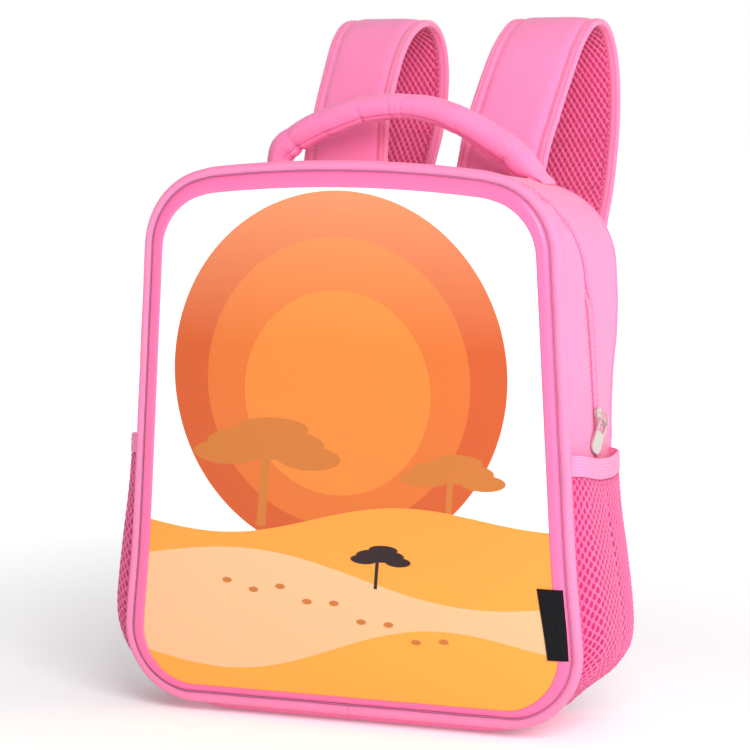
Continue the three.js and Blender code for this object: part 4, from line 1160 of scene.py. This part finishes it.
class BAG_OT_panel(bpy.types.Operator):
    """Makes the moulded front panel with its rim and its printed face"""
    bl_idname = "bag.front_panel"
    bl_label = "Front panel"

    def execute(self, context):
        body = Body()
        size = settings("panel")
        places = all_round(420)
        rings, flats = [], []
        widths = (size.rim_side, size.rim_top, size.rim_bottom)
        girth = body.loop_girth(places)
        for inset, forward, is_share in RIM_SECTION:
            if is_share:
                insets = [mix(RIM_ROUND, full, inset) for full in widths]
            else:
                insets = [inset * MM] * 3
            rings.append(body.panel(places, -forward * MM, *insets))
            flats.append(grid(girth, insets[0]))
        outline = body.panel(places, 0.0, *widths)
        pole = body.origin + np.array((0, 0, (body.size.seam_top + body.size.seam_bottom) / 2))
        face = [(reach, 0.0, 20 * MM * (2 - reach)) for reach in FACE_RINGS]
        face += [(reach, wall, 0.2 * MM) for reach, wall in FACE_BACK_RINGS]
        for reach, wall, across in face:
            y = body.origin[1] - size.rim_rise - size.face_crown * (1 - reach ** 4) + wall * MM
            rings.append(drawn_in(outline, pole, reach, y))
            flats.append(grid(girth, across))
        rings = np.array(rings)
        count = len(places)
        marks = np.zeros((len(rings), count), int)
        marks[len(RIM_SECTION) - 2:len(rings) - 4] = 1
        faces = quads(len(rings), count, True, True)
        piece = build("front_panel_moulded", rings, faces, np.array(flats),
                      [finish("rim_skin"), finish("printed_face")], marks.ravel(), 50)
        close_pole(piece)
        finish_piece(piece, ["front_panel"])
        return {"FINISHED"}


class BAG_OT_piping(bpy.types.Operator):
    """Makes the round piping in the front seam"""
    bl_idname = "bag.piping"
    bl_label = "Front piping"

    def execute(self, context):
        body = Body()
        s = body.size
        places = all_round(640)
        turn = turns(28) + math.pi
        girth = body.loop_girth(places)
        wobble = soft_noise(girth[:, None] * 160, turn[None, :] * 0.7, 0.4) * 0.12 * MM
        radius = s.piping_radius + wobble - 0.05 * MM
        lift = radius * np.cos(turn)
        y = s.piping_depth + radius * np.sin(turn)
        rings = body.skin(places[:, None], y * 0 + s.piping_depth, lift)
        rings[..., 1] = body.origin[1] + y
        flat = grid(girth[:, None], turn[None, :] * s.piping_radius)
        piece = loft("front_piping_cord", rings, flat, [finish("piping_satin")], closed=True, crease=70)
        finish_piece(piece, ["front_piping"])
        self.tape(body, places, girth)
        self.seam(body, places, girth)
        return {"FINISHED"}

    @staticmethod
    def seam(body, places, girth):
        """Cord in the groove where the piping meets the panel: partly a real cord, and partly painted shade
        of the groove in its dark mauve.
        """
        turn = turns(10)
        radius = 0.6 * MM
        lift = radius * np.cos(turn) - 2.6 * MM
        rings = body.skin(places[:, None], 0.0, lift[None, :])
        rings[..., 1] = body.origin[1] - 1.3 * MM - radius * np.sin(turn)
        flat = grid(girth[:, None], turn[None, :] * radius)
        piece = loft("front_seam_cord", rings, flat, [finish("seam_thread")], closed=True, crease=80)
        finish_piece(piece)

    @staticmethod
    def tape(body, places, girth):
        """Flat flange of the piping, which shows as a narrow step beside the gusset."""
        s = body.size
        across = np.linspace(0, 1, 7)
        y = mix(s.piping_depth + 2.0 * MM, 4.4 * MM, across)
        lift = 0.35 * MM * np.sin(math.pi * across) - 0.9 * MM
        outer = body.skin(places[:, None], y[None, :], lift[None, :])
        inner = body.skin(places[:, None], y[None, :], lift[None, :] - 0.8 * MM)
        flat = strip_flat(girth, y[None, :])
        rings = strip_ring(outer, inner)
        piece = loft("front_piping_tape", rings, flat, [finish("piping_satin")], closed=True)
        finish_piece(piece)


class BAG_OT_gussets(bpy.types.Operator):
    """Makes the padded side strips in front of and behind the zip, and the base strip"""
    bl_idname = "bag.gussets"
    bl_label = "Gussets"

    def execute(self, context):
        body = Body()
        end = body.size.depth - CLOTH_END
        arch = np.linspace(-JOIN, JOIN, 620)
        start, stop = np.full(len(arch), CLOTH_START), np.full(len(arch), end)
        half_zip = body.zip_half(arch, settings("sewing").zip_width / 2)
        zip_line = body.zip_depth(arch)
        self.strip(body, "front_gusset", arch, start, zip_line - half_zip, 32, 0.45, (0.9, 0.25))
        self.strip(body, "back_gusset", arch, zip_line + half_zip, stop, 48, 0.5, (0.25, 0.9))
        right = np.linspace(JOIN, BOTTOM, 220)
        around = np.concatenate((right, -right[-2::-1]))
        start, stop = np.full(len(around), CLOTH_START), np.full(len(around), end)
        self.strip(body, "base_gusset", around, start, stop, 60, 0.5, (0.9, 0.9))
        for name, shift in (("front", -half_zip - ZIP_SEAM), ("back", half_zip + ZIP_SEAM)):
            line = body.skin(arch, zip_line + shift, 0.2 * MM)
            out = body.skin(arch, zip_line + shift, 10 * MM) - line
            stitches(f"zip_stitches_{name}", line, out, finish("sewing_thread"))
        return {"FINISHED"}

    def strip(self, body, node, places, near, far, columns, puff, drops):
        """One strip of padded cloth between two seams, where it sinks in by the given drops in mm."""
        t = 0.5 - 0.5 * np.cos(np.linspace(0, math.pi, columns))
        y = near[:, None] + (far - near)[:, None] * t[None, :]
        wide = np.minimum(y - near[:, None], far[:, None] - y)
        girth = body.girth(places)
        sink = sum((puff + drop) * np.exp(-away / SEAM_REACH)
                   for drop, away in zip(drops, (y - near[:, None], far[:, None] - y)))
        lift = (puff - sink) * MM
        folds = soft_noise(girth[:, None] * 95, y * 130, 0.9) * 0.22
        fine = soft_noise(girth[:, None] * 260, y * 210, 2.1) * 0.09
        lift = lift + (folds + fine) * MM * np.clip(wide / (6 * MM), 0, 1)
        lift = lift + self.pleats(places, y, near, far) * MM
        if node == "base_gusset":
            lift = np.minimum(lift, np.where(np.abs(places) > BASE_CORNER_END - 1, 0.0, 9)[:, None])
        outer = body.skin(places[:, None], y, lift)
        outer[..., 2] = np.maximum(outer[..., 2], 0.0)
        inner = body.skin(places[:, None], y, -CLOTH_INNER)
        flat = strip_flat(girth, y)
        piece = loft(f"{node}_cloth", strip_ring(outer, inner), flat, [finish("side_twill")], crease=60)
        finish_piece(piece, [node])

    @staticmethod
    def pleats(places, y, near, far):
        """Soft pleats that run off the zip where the strips bend round the corners."""
        total = np.zeros(y.shape)
        edge = np.exp(-(y - near[:, None]) / PLEAT_REACH) + np.exp(-(far[:, None] - y) / PLEAT_REACH)
        for place, reach, height in PLEATS:
            total += height * bump_at(np.abs(places), place, reach)[:, None] * edge
        return total


class BAG_OT_zip(bpy.types.Operator):
    """Makes the zip tape and its coil, and gives the slider and the pull their metal"""
    bl_idname = "bag.zip"
    bl_label = "Zip"

    def execute(self, context):
        body = Body()
        places = np.linspace(-JOIN, JOIN, 900)
        centre = body.zip_depth(places)
        girth = body.girth(places)
        across, lift = np.array(ZIP_SECTION).T * MM
        coil = (np.abs(across) < COIL_HALF)[None, :]
        tooth = np.sin((girth[:, None] + np.abs(across)[None, :] * 0.7) * 2 * math.pi / COIL_PITCH)
        full = settings("sewing").zip_width / 2
        shown = (body.zip_half(places, full) / full)[:, None] ** 2
        high = mix(-1.9 * MM, lift[None, :] + 0.2 * MM * tooth * coil, shown)
        outer = body.skin(places[:, None], centre[:, None] + across[None, :], high)
        inner = body.skin(places[:, None], centre[:, None] + across[None, :], -2.4 * MM + 0 * high)
        flat = strip_flat(girth, across[None, :])
        piece = loft("zip_tape_and_coil", strip_ring(outer, inner), flat, [finish("zip_tape")], crease=60)
        finish_piece(piece, ["zipper"])
        for node in ("zip_slider", "zip_pull"):
            refinish(node, "zip_metal")
        return {"FINISHED"}


class BAG_OT_back(bpy.types.Operator):
    """Makes the padded back with its sewn channels and its bound edge"""
    bl_idname = "bag.back"
    bl_label = "Padded back"

    def execute(self, context):
        body = Body()
        s = body.size
        places = all_round(420)
        edge = body.skin(places, s.depth, -BACK_EDGE)
        pole = body.origin + np.array((0, s.depth, (s.seam_top + s.seam_bottom) / 2))
        near = s.depth + 0.4 * MM
        rings = [drawn_in(edge, pole, reach, body.origin[1] + near) for reach in BACK_INNER_RINGS]
        for reach in BACK_RINGS:
            ring = drawn_in(edge, pole, reach)
            ring[:, 1] = body.origin[1] + s.depth + self.pad(body, ring, reach)
            rings.append(ring)
        rings = np.array(rings)
        faces = quads(len(rings), len(places), False, True)
        piece = build("back_panel_pad", rings, faces, rings[..., (0, 2)], [finish("air_mesh")], crease=60)
        close_pole(piece)
        finish_piece(piece, ["back_panel"])
        self.binding(body, places)
        return {"FINISHED"}

    @staticmethod
    def pad(body, ring, reach):
        """Stand-off of the padded face, with a spine channel and two cross channels."""
        x = ring[:, 0] - body.origin[0]
        z = ring[:, 2]
        rounded = (1 - np.clip((reach - 0.9) / 0.1, 0, 1) ** 2) ** 0.5
        full = mix(BACK_EDGE, body.size.back_thick, rounded)
        channel = bump_at(x, 0.0, 6 * MM) * 3.6 * MM
        for height in BACK_CHANNELS:
            channel = np.maximum(channel, bump_at(z, height + np.abs(x) * 0.12, 4.5 * MM) * 3.2 * MM)
        return full - channel * rounded + 0.25 * MM * soft_noise(x * 70, z * 70, 1.3) * rounded

    @staticmethod
    def binding(body, places):
        """Rolled binding over the back seam."""
        s = body.size
        turn = turns(20) + math.pi
        girth = body.loop_girth(places)
        radius = 1.6 * MM
        lift = radius * np.cos(turn) - BACK_EDGE
        rings = body.skin(places[:, None], s.depth + 0 * turn[None, :], lift[None, :])
        rings[..., 1] += 0.9 * MM + radius * np.sin(turn)
        rings[..., 2] = np.maximum(rings[..., 2], 0.05 * MM)
        flat = grid(girth[:, None], turn[None, :] * radius)
        piece = loft("back_seam_binding", rings, flat, [finish("side_twill")], closed=True, crease=70)
        finish_piece(piece)


class Pocket:
    """Form of one side pocket: its face by share of the depth and of the way down."""

    def __init__(self, name):
        self.body = Body()
        self.sewing = settings("sewing")
        self.side = SIDES[name]
        self.bulge, self.mouth, self.tuck = POCKETS[name]
        self.bottom = FLANK_END + 3

    def height(self, along):
        return self.sewing.mouth_height - self.sewing.mouth_sag * curve(POCKET_ALONG, 2, along)

    def out(self, along, down):
        fill = curve(POCKET_DOWN, 1, down)
        opened = curve(POCKET_DOWN, 2, down) ** self.tuck
        return self.bulge * mix(self.mouth, 1, fill) * opened * curve(POCKET_ALONG, 1, along)

    def face(self, along, down, lift=0.0):
        """Points on the net, from the band's lower edge to the base."""
        along, down = np.broadcast_arrays(np.asarray(along, float), np.asarray(down, float))
        top = self.body.place_at(self.height(along) - self.sewing.band_height)
        place = top + (self.bottom - top) * down
        y = mix(POCKET_FRONT, POCKET_BACK, along)
        lift = lift + POCKET_LIFT + self.out(along, down) + self.gather(along, down)
        return self.body.skin(self.side * place, y, lift)

    def gather(self, along, down):
        """Soft folds of the net, fuller towards the base."""
        fullness = np.clip(down - 0.35, 0, 1) ** 1.3
        folds = soft_noise(along * 34, down * 9, 0.3 + self.side) * 2.2
        folds = folds + soft_noise(along * 11, down * 16, 1.9)
        soft = folds * fullness * 1.1 * MM * curve(POCKET_ALONG, 1, along) * (1 - down) ** 0.3
        pucker = soft_noise(along * 90, down * 5, 2.6) * np.clip((down - 0.8) / 0.2, 0, 1) ** 2
        crease = bump_at(along, 0.42 + 0.05 * down, 0.03) * np.clip(down / 0.15, 0, 1) * (1 - down)
        return soft + (pucker * 1.1 - crease * 1.6) * MM


def net_cells(width, height, pitch, drop, hole, slant=0.0):
    """Flat knitted net of staggered cells: points (u, v, height share) and faces."""
    quarter = np.array(((1, 0), (0.5, 0.5), (0, 1), (-0.5, 0.5)))
    corner = np.concatenate((quarter, -quarter))
    crest = np.array((0.8, 1.25, 0.8, 0.85, 0.8, 1.25, 0.8, 0.85))
    angle = turns(8)
    oval = np.stack((np.cos(angle) * 0.9 + np.sin(angle) * slant, np.sin(angle)), -1) * hole
    rings = ((corner, crest), (mix(corner, oval, 0.5), 0.78 * crest), (oval * 1.05, 0.15 * crest),
             (oval, -0.5 * crest), (mix(corner, oval, 0.5), -0.9 * crest ** 0), (corner, -1.0 * crest ** 0))
    shape = np.stack([np.column_stack((ring, high)) for ring, high in rings])
    shape = shape.reshape(-1, 3) * np.array((pitch / 2, drop / 2, 1))
    faces = quads(len(rings), 8, False, True)
    spots = []
    for row in range(int(height / (drop / 2)) + 2):
        shift = pitch / 2 if row % 2 else 0.0
        for column in range(int(width / pitch) + 2):
            spots.append((column * pitch + shift, row * drop / 2, 0))
    points = (np.array(spots)[:, None, :] + shape[None]).reshape(-1, 3)
    every = (faces[None] + np.arange(len(spots))[:, None, None] * len(shape)).reshape(-1, 4)
    points[:, 0] = np.clip(points[:, 0], 0, width)
    points[:, 1] = np.clip(points[:, 1], 0, height)
    return points, every


def net_piece(name, points, faces, placed, thread):
    """Net mesh with its cells joined and the slivers at its edges taken out."""
    piece = build(name, placed, faces.tolist(), points[:, :2], [finish(thread)], crease=80)

    def join(bm):
        bmesh.ops.remove_doubles(bm, verts=bm.verts, dist=CELL_JOIN)
        bmesh.ops.dissolve_degenerate(bm, dist=CELL_JOIN / 2, edges=bm.edges)
        loose = [v for v in bm.verts if not v.link_faces]
        bmesh.ops.delete(bm, geom=loose, context="VERTS")

    mended(piece.data, join)
    piece.data.shade_smooth()
    finish_piece(piece)


class BAG_OT_pockets(bpy.types.Operator):
    """Makes the net side pockets with their elastic bands and bound edges"""
    bl_idname = "bag.pockets"
    bl_label = "Side pockets"

    def execute(self, context):
        for name in SIDES:
            pocket = Pocket(name)
            self.net(name, pocket)
            self.band(name, pocket)
            self.edge(name, pocket)
        return {"FINISHED"}

    def net(self, name, pocket):
        sewing = pocket.sewing
        u_line = np.linspace(0, 1, 160)
        v_line = np.linspace(0, 1, 160)
        wide = lengths(pocket.face(u_line, 0.45))
        tall = lengths(pocket.face(0.45, v_line))
        points, faces = net_cells(wide[-1], tall[-1], sewing.net_pitch, sewing.net_drop, sewing.hole_share)
        along = np.interp(points[:, 0], wide, u_line)
        down = np.interp(points[:, 1], tall, v_line)
        placed = pocket.face(along, down, points[:, 2] * sewing.net_cord / 2)
        net_piece(f"side_pocket_{name}_net", points, faces, placed, "net_thread")
        self.backing(name, pocket, wide[-1], tall[-1])

    @staticmethod
    def backing(name, pocket, wide, tall):
        """Close-knit cloth behind the net, which shows as deep pink in its holes; that deep pink, darker than
        the side cloth, is painted shade inside the pocket.
        """
        along = np.linspace(0, 1, 110)[:, None]
        down = np.linspace(0, 1, 90)[None, :]
        outer = pocket.face(along, down, -0.35 * MM)
        inner = pocket.face(along, down, -0.75 * MM)
        flat = strip_flat(along[:, 0] * wide, down * tall)
        label = f"side_pocket_{name}_backing"
        piece = loft(label, strip_ring(outer, inner), flat, [finish("net_backing")], crease=70)
        finish_piece(piece, [f"side_pocket_{name}"])

    def band(self, name, pocket):
        sewing = pocket.sewing
        along = 0.5 - 0.5 * np.cos(np.linspace(0, math.pi, 170))
        down = np.linspace(0, 1, 57)
        z = pocket.height(along)[:, None] - sewing.band_height * down[None, :] + 0.2 * MM
        y = mix(POCKET_FRONT, POCKET_BACK, along)[:, None]
        out = pocket.out(along, 0 * along)[:, None]
        rib = np.abs(np.sin(math.pi * BAND_RIBS * down))[None, :] ** 0.7 * 0.55 * MM
        girth = lengths(pocket.face(along, 0.0))
        gather = soft_noise(girth[:, None] * 1500, down[None, :] * 3, 0.2) * 0.1 * MM
        tuck = np.minimum(down, 1 - down)[None, :]
        edge = 0.8 * MM * np.exp(-tuck / 0.03)
        place = pocket.side * pocket.body.place_at(z)
        lift = POCKET_LIFT + out
        outer = pocket.body.skin(place, y, lift + 0.5 * MM + rib + gather - edge)
        inner = pocket.body.skin(place, y, lift - 0.5 * MM)
        flat = strip_flat(girth, sewing.band_height * down[None, :])
        rings = strip_ring(outer, inner)
        piece = loft(f"pocket_band_{name}_elastic", rings, flat, [finish("elastic")], crease=70)
        finish_piece(piece, [f"pocket_band_{name}"])

    def edge(self, name, pocket):
        """Narrow binding where the net is sewn to the side, down, across and up again."""
        lower = np.linspace(0, 1, 90)
        across = np.linspace(0, 1, 50)[1:-1]
        rows = [(0.0, d) for d in lower] + [(a, 1.0) for a in across] + [(1.0, d) for d in lower[::-1]]
        route = np.array(rows)
        centre = pocket.face(route[:, 0], route[:, 1], -0.6 * MM)
        line, ahead, at = spline(centre[::3], 260)
        outward = np.tile(np.array((pocket.side, 0.0, 0.0)), (len(line), 1))
        outward[:, 2] = np.where(line[:, 2] < 40 * MM, -0.7, 0)
        outward = square(outward, ahead)
        across_dir = np.cross(ahead, outward)
        turn = turns(12)
        ring = (line[:, None] + across_dir[:, None] * np.cos(turn)[None, :, None] * 1.5 * MM
                + outward[:, None] * np.sin(turn)[None, :, None] * 0.9 * MM)
        flat = grid(at[:, None], turn[None, :] * 1.3 * MM)
        piece = loft(f"pocket_edge_{name}", ring, flat, [finish("piping_satin")], crease=70)
        finish_piece(piece)


class BAG_OT_handle(bpy.types.Operator):
    """Makes the rolled carry handle with its creases, gathered ends and seam"""
    bl_idname = "bag.handle"
    bl_label = "Carry handle"

    def execute(self, context):
        body = Body()
        sewing = settings("sewing")
        base = body.origin + np.array((0, sewing.handle_depth, 0))
        foot = body.top_height(body.origin[0] + sewing.handle_half, sewing.handle_depth)
        knots = [(base[0] + sewing.handle_half * out, base[1], float(foot) + sewing.handle_rise * up)
                 for out, up, _ in HANDLE_ARCH]
        for end, row in ((-1, 0), (1, len(knots))):
            tip = base[0] + end * HANDLE_TIP * sewing.handle_half
            low = float(body.top_height(tip, sewing.handle_depth)) + 1.4 * MM
            knots.insert(row, (tip, base[1], low))
        line, ahead, at = spline(knots, 420)
        out = (line[:, 0] - base[0]) / sewing.handle_half
        thick = curve(HANDLE_ARCH, 2, out)
        up = np.stack((-ahead[:, 2], 0 * out, ahead[:, 0]), -1)
        turn = turns(80) + math.pi
        a = turn[None, :]
        u = at[:, None]
        under = 0.5 - 0.5 * np.cos(a)
        pinch = sum(deep * np.exp(-np.abs((out - place) / reach) ** 1.4)
                    for place, deep, reach in HANDLE_CREASES)
        near = sum(bump_at(out, place, reach * 3.2) for place, _, reach in HANDLE_CREASES)[:, None]
        end = np.exp(-np.clip(1 - np.abs(out), 0, 1) / 0.08)[:, None]
        folds = soft_noise(u * 330, a * 3.4, 0.8) * (0.15 + 0.7 * np.clip(near, 0, 1))
        folds = folds + end * np.sin(a * 7 + 2 * np.sin(a * 2)) * 0.8
        seam = bump_at(a, math.pi + 0.75, 0.09)
        flatness = ease(np.clip((np.abs(out) - HANDLE_FLAT) / (HANDLE_TIP - HANDLE_FLAT), 0, 1))[:, None]
        radius = sewing.handle_thick / 2 * thick[:, None] * (1 - pinch[:, None] * (0.12 + 1.15 * under ** 2))
        radius = radius + (folds * 0.42 - seam * 0.9) * MM + soft_noise(u * 90, a * 1.2, 2.2) * 0.3 * MM
        tall = radius * (1 - 0.84 * flatness)
        broad = radius * (1 - flatness) + flatness * sewing.handle_thick * HANDLE_TAB
        ring = line[:, None] + up[:, None] * (np.cos(a) * tall)[..., None]
        ring[..., 1] += np.sin(a) * broad
        for column in range(len(turn)):
            depth = ring[:, column, 1] - body.origin[1]
            top = body.top_height(ring[:, column, 0], float(depth.mean()))
            ring[:, column, 2] = np.maximum(ring[:, column, 2], top + 0.2 * MM)
        flat = grid(u, (a - math.pi) * sewing.handle_thick / 2)
        piece = loft("carry_handle_roll", ring, flat, [finish("strap_twill")], crease=75)
        finish_piece(piece, ["carry_handle"])
        return {"FINISHED"}


class Strap:
    """Course and section of one shoulder strap."""

    def __init__(self, name):
        self.body = Body()
        self.sewing = settings("sewing")
        self.side = SIDES[name]
        s = self.body.size
        self.back = s.depth + s.back_thick
        knots = [(self.side * (STRAP_SPLIT + STRAP_SPLAY * out), self.back + STRAP_OFF + STRAP_REACH * back,
                  STRAP_ROOT + STRAP_RISE * up - STRAP_FALL * down)
                 for back, up, down, out in STRAP_LOOPS[name]]
        self.line, self.ahead, self.at = spline(np.array(knots) + self.body.origin, 420)
        turn = self.side * STRAP_TWIST[name] * curve(STRAP_TURNS, 1, self.at / self.at[-1])
        level = np.stack((np.cos(turn), np.sin(turn), 0 * turn), -1)
        self.across = square(level, self.ahead)
        self.out = np.cross(self.across, self.ahead)

    def points(self, share_across, height):
        """Points by share of the half width and height off the middle, per row."""
        half = self.sewing.strap_width / 2
        return (self.line[:, None] + self.across[:, None] * (share_across * half)[..., None]
                + self.out[:, None] * height[..., None])

    def spot(self, at, share_across, height):
        """Points by length along the strap, share of the half width and height off the middle."""
        line, across, out = (between(at, self.at, table) for table in (self.line, self.across, self.out))
        half = self.sewing.strap_width / 2
        return line + across * (share_across * half)[:, None] + out * height[:, None]


class BAG_OT_straps(bpy.types.Operator):
    """Makes the padded shoulder straps with bound edges and mesh inside, and their webbing"""
    bl_idname = "bag.straps"
    bl_label = "Shoulder straps"

    def execute(self, context):
        for name in SIDES:
            strap = Strap(name)
            self.pad(name, strap)
            self.webbing(name, strap)
            refinish(f"strap_buckle_{name}", "adjuster_plastic")
        return {"FINISHED"}

    def pad(self, name, strap):
        half = np.concatenate((np.linspace(0, 0.7, 12)[:-1], np.linspace(0.7, 1.0, 31)))
        full = np.concatenate((-half[:0:-1], half))
        at = strap.at[:, None]
        spread = np.abs(full)[None, :]
        outer_h = curve(STRAP_SECTION, 1, np.abs(full))[None, :]
        inner_h = curve(STRAP_SECTION, 2, np.abs(full))[None, :]
        inside = np.clip((0.76 - spread) / 0.1, 0, 1)
        soft = soft_noise(at * 80, full[None, :] * 3.0, 1.1) * 0.3 * MM * inside
        outer = strap.points(np.broadcast_to(full, (len(at), len(full))), outer_h + soft)
        middle = full[1:-1]
        height = soft[:, 1:-1] * 0.5 - inner_h[:, 1:-1]
        inner = strap.points(np.broadcast_to(middle, (len(at), len(middle))), height)
        rings = strip_ring(outer, inner)
        half_width = strap.sewing.strap_width / 2
        v_outer = np.concatenate((full, middle[::-1])) * half_width
        shift = np.concatenate((0 * full, 0 * middle + 80 * MM))
        flat = grid(at, (v_outer + shift)[None, :])
        order = np.concatenate((full, middle[::-1]))
        beyond = np.roll(order, -1)
        bound = (np.abs(order) + np.abs(beyond)) / 2 > BINDING_START
        inner_face = np.arange(len(order)) >= len(full)
        marks = np.where(bound, 1, np.where(inner_face, 2, 0))
        marks = np.broadcast_to(marks, (len(at) - 1, len(order)))
        # The inner face under the mesh gets the dark hole colour, painted shade
        finishes = [finish("strap_twill"), finish("piping_satin"), finish("mesh_depth")]
        piece = loft(f"strap_{name}_pad", rings, flat, finishes, marks, crease=70)
        finish_piece(piece, [f"strap_{name}"])
        self.mesh_face(name, strap)
        for edge_name, edge in SIDES.items():
            for face_name, face, height in (("outer", 1, 1.05 * MM), ("inner", -1, 0.9 * MM)):
                where = np.full((len(strap.line), 1), edge * STITCH_PLACE)
                line = strap.points(where, where * 0 + face * height)[:, 0]
                label = f"strap_{name}_stitches_{face_name}_{edge_name}"
                stitches(label, line, strap.out * face, finish("sewing_thread"))

    @staticmethod
    def mesh_face(name, strap):
        """Open mesh on the strap's inner face."""
        sewing = strap.sewing
        half = sewing.strap_width / 2
        wide = 2 * MESH_EDGE * half
        points, faces = net_cells(strap.at[-1], wide, sewing.mesh_pitch, sewing.mesh_across,
                                  sewing.hole_share, MESH_SLANT)
        across = points[:, 1] / half - MESH_EDGE
        height = curve(STRAP_SECTION, 2, np.abs(across)) + 0.25 * MM
        placed = strap.spot(points[:, 0], across, -height - points[:, 2] * sewing.net_cord * 0.4)
        net_piece(f"strap_{name}_mesh", points, faces, placed, "mesh_thread")

    def webbing(self, name, strap):
        tip = strap.line[-1] + strap.ahead[-1] * 17.6 * MM
        lead = tip + strap.ahead[-1] * 9 * MM
        anchor = strap.body.origin + np.array((strap.side * 94 * MM, strap.back + 1.1 * MM, 24 * MM))
        course = [tip] + [(mix(lead[0], anchor[0], d), mix(anchor[1], lead[1], b), mix(lead[2], anchor[2], d))
                          for d, b in WEBBING_COURSE]
        line, ahead, at = spline(course, 150)
        level = square(np.tile(np.array((1.0, 0, 0)), (len(line), 1)), ahead)
        out = np.cross(level, ahead)
        across = np.linspace(-1, 1, 31)
        half = strap.sewing.web_width / 2
        ribs = 0.12 * MM * np.cos(across * half * 2 * math.pi / (2.2 * MM))
        thick = (0.8 * MM * (1 - across ** 12) + ribs)[None, :, None]
        body_line = line[:, None] + level[:, None] * (across * half)[None, :, None]
        rings = strip_ring(body_line + out[:, None] * thick, body_line - out[:, None] * thick)
        flat = strip_flat(at, (across * half)[None, :])
        piece = loft(f"strap_webbing_{name}_woven", rings, flat, [finish("webbing")], crease=60)
        finish_piece(piece, [f"strap_webbing_{name}"])


class BAG_OT_label(bpy.types.Operator):
    """Makes the blank woven label in the right front seam"""
    bl_idname = "bag.label"
    bl_label = "Side label"

    def execute(self, context):
        body = Body()
        s = body.size
        size = settings("panel")
        rows = np.linspace(0, 1, 40)
        cols = np.linspace(0, 1, 24)
        z = size.label_bottom + size.label_height * rows[:, None]
        reach = mix(size.label_base_reach, size.label_top_reach, rows)[:, None]
        inset = mix(1.5 * MM, reach, cols[None, :])
        hip = s.hip_swell * bump_at(z, s.hip_height, s.hip_reach)
        x = body.side(z) + hip - inset
        rise = size.rim_rise * np.clip(0.62 + cols / 0.3 * 0.38, 0, 1)[None, :]
        rise = rise + 0.6 * MM * np.clip((inset - size.rim_side) / size.rim_side, 0, 1)
        rise = rise + 0.25 * MM * np.sin(cols * 5)[None, :] * rows[:, None]
        edge = np.minimum(np.minimum(cols, 1 - cols)[None, :] * 16,
                          np.minimum(rows, 1 - rows)[:, None] * 39)
        thick = 0.35 * MM + 0.35 * MM * np.clip(edge / 0.5, 0, 1)
        flat_face = grid(x, -(rise + 0.45 * MM), z) + body.origin
        front = flat_face - grid(0 * x, thick, 0 * x)
        flat = strip_flat(rows * size.label_height, inset)
        rings = strip_ring(front, flat_face)
        piece = loft("side_label_woven", rings, flat, [finish("label_weave")], crease=50)
        finish_piece(piece, ["side_label"])
        return {"FINISHED"}


GROUPS = {
    "body": BodySizes, "panel": PanelSizes, "sewing": SewingSizes, "colours": Colours, "stage": StageSettings,
}
OPERATORS = (
    BAG_OT_stage, BAG_OT_panel, BAG_OT_piping, BAG_OT_gussets, BAG_OT_zip, BAG_OT_back, BAG_OT_pockets,
    BAG_OT_handle, BAG_OT_straps, BAG_OT_label,
)


class BAG_PT_sidebar(bpy.types.Panel):
    """Lists the pieces of the backpack"""
    bl_idname = "BAG_PT_sidebar"
    bl_label = "Backpack"
    bl_space_type = "VIEW_3D"
    bl_region_type = "UI"
    bl_category = "Backpack"

    def draw(self, context):
        for operator in OPERATORS:
            self.layout.operator(operator.bl_idname)


def register():
    for name, group in GROUPS.items():
        bpy.utils.register_class(group)
        setattr(bpy.types.Scene, f"bag_{name}", PointerProperty(type=group))
    for operator in OPERATORS:
        bpy.utils.register_class(operator)
    bpy.utils.register_class(BAG_PT_sidebar)


def unregister():
    bpy.utils.unregister_class(BAG_PT_sidebar)
    for operator in reversed(OPERATORS):
        bpy.utils.unregister_class(operator)
    for name, group in GROUPS.items():
        delattr(bpy.types.Scene, f"bag_{name}")
        bpy.utils.unregister_class(group)


def main():
    register()
    for operator in OPERATORS:
        group, name = operator.bl_idname.split(".")
        getattr(getattr(bpy.ops, group), name)()


if __name__ == "__main__":
    main()
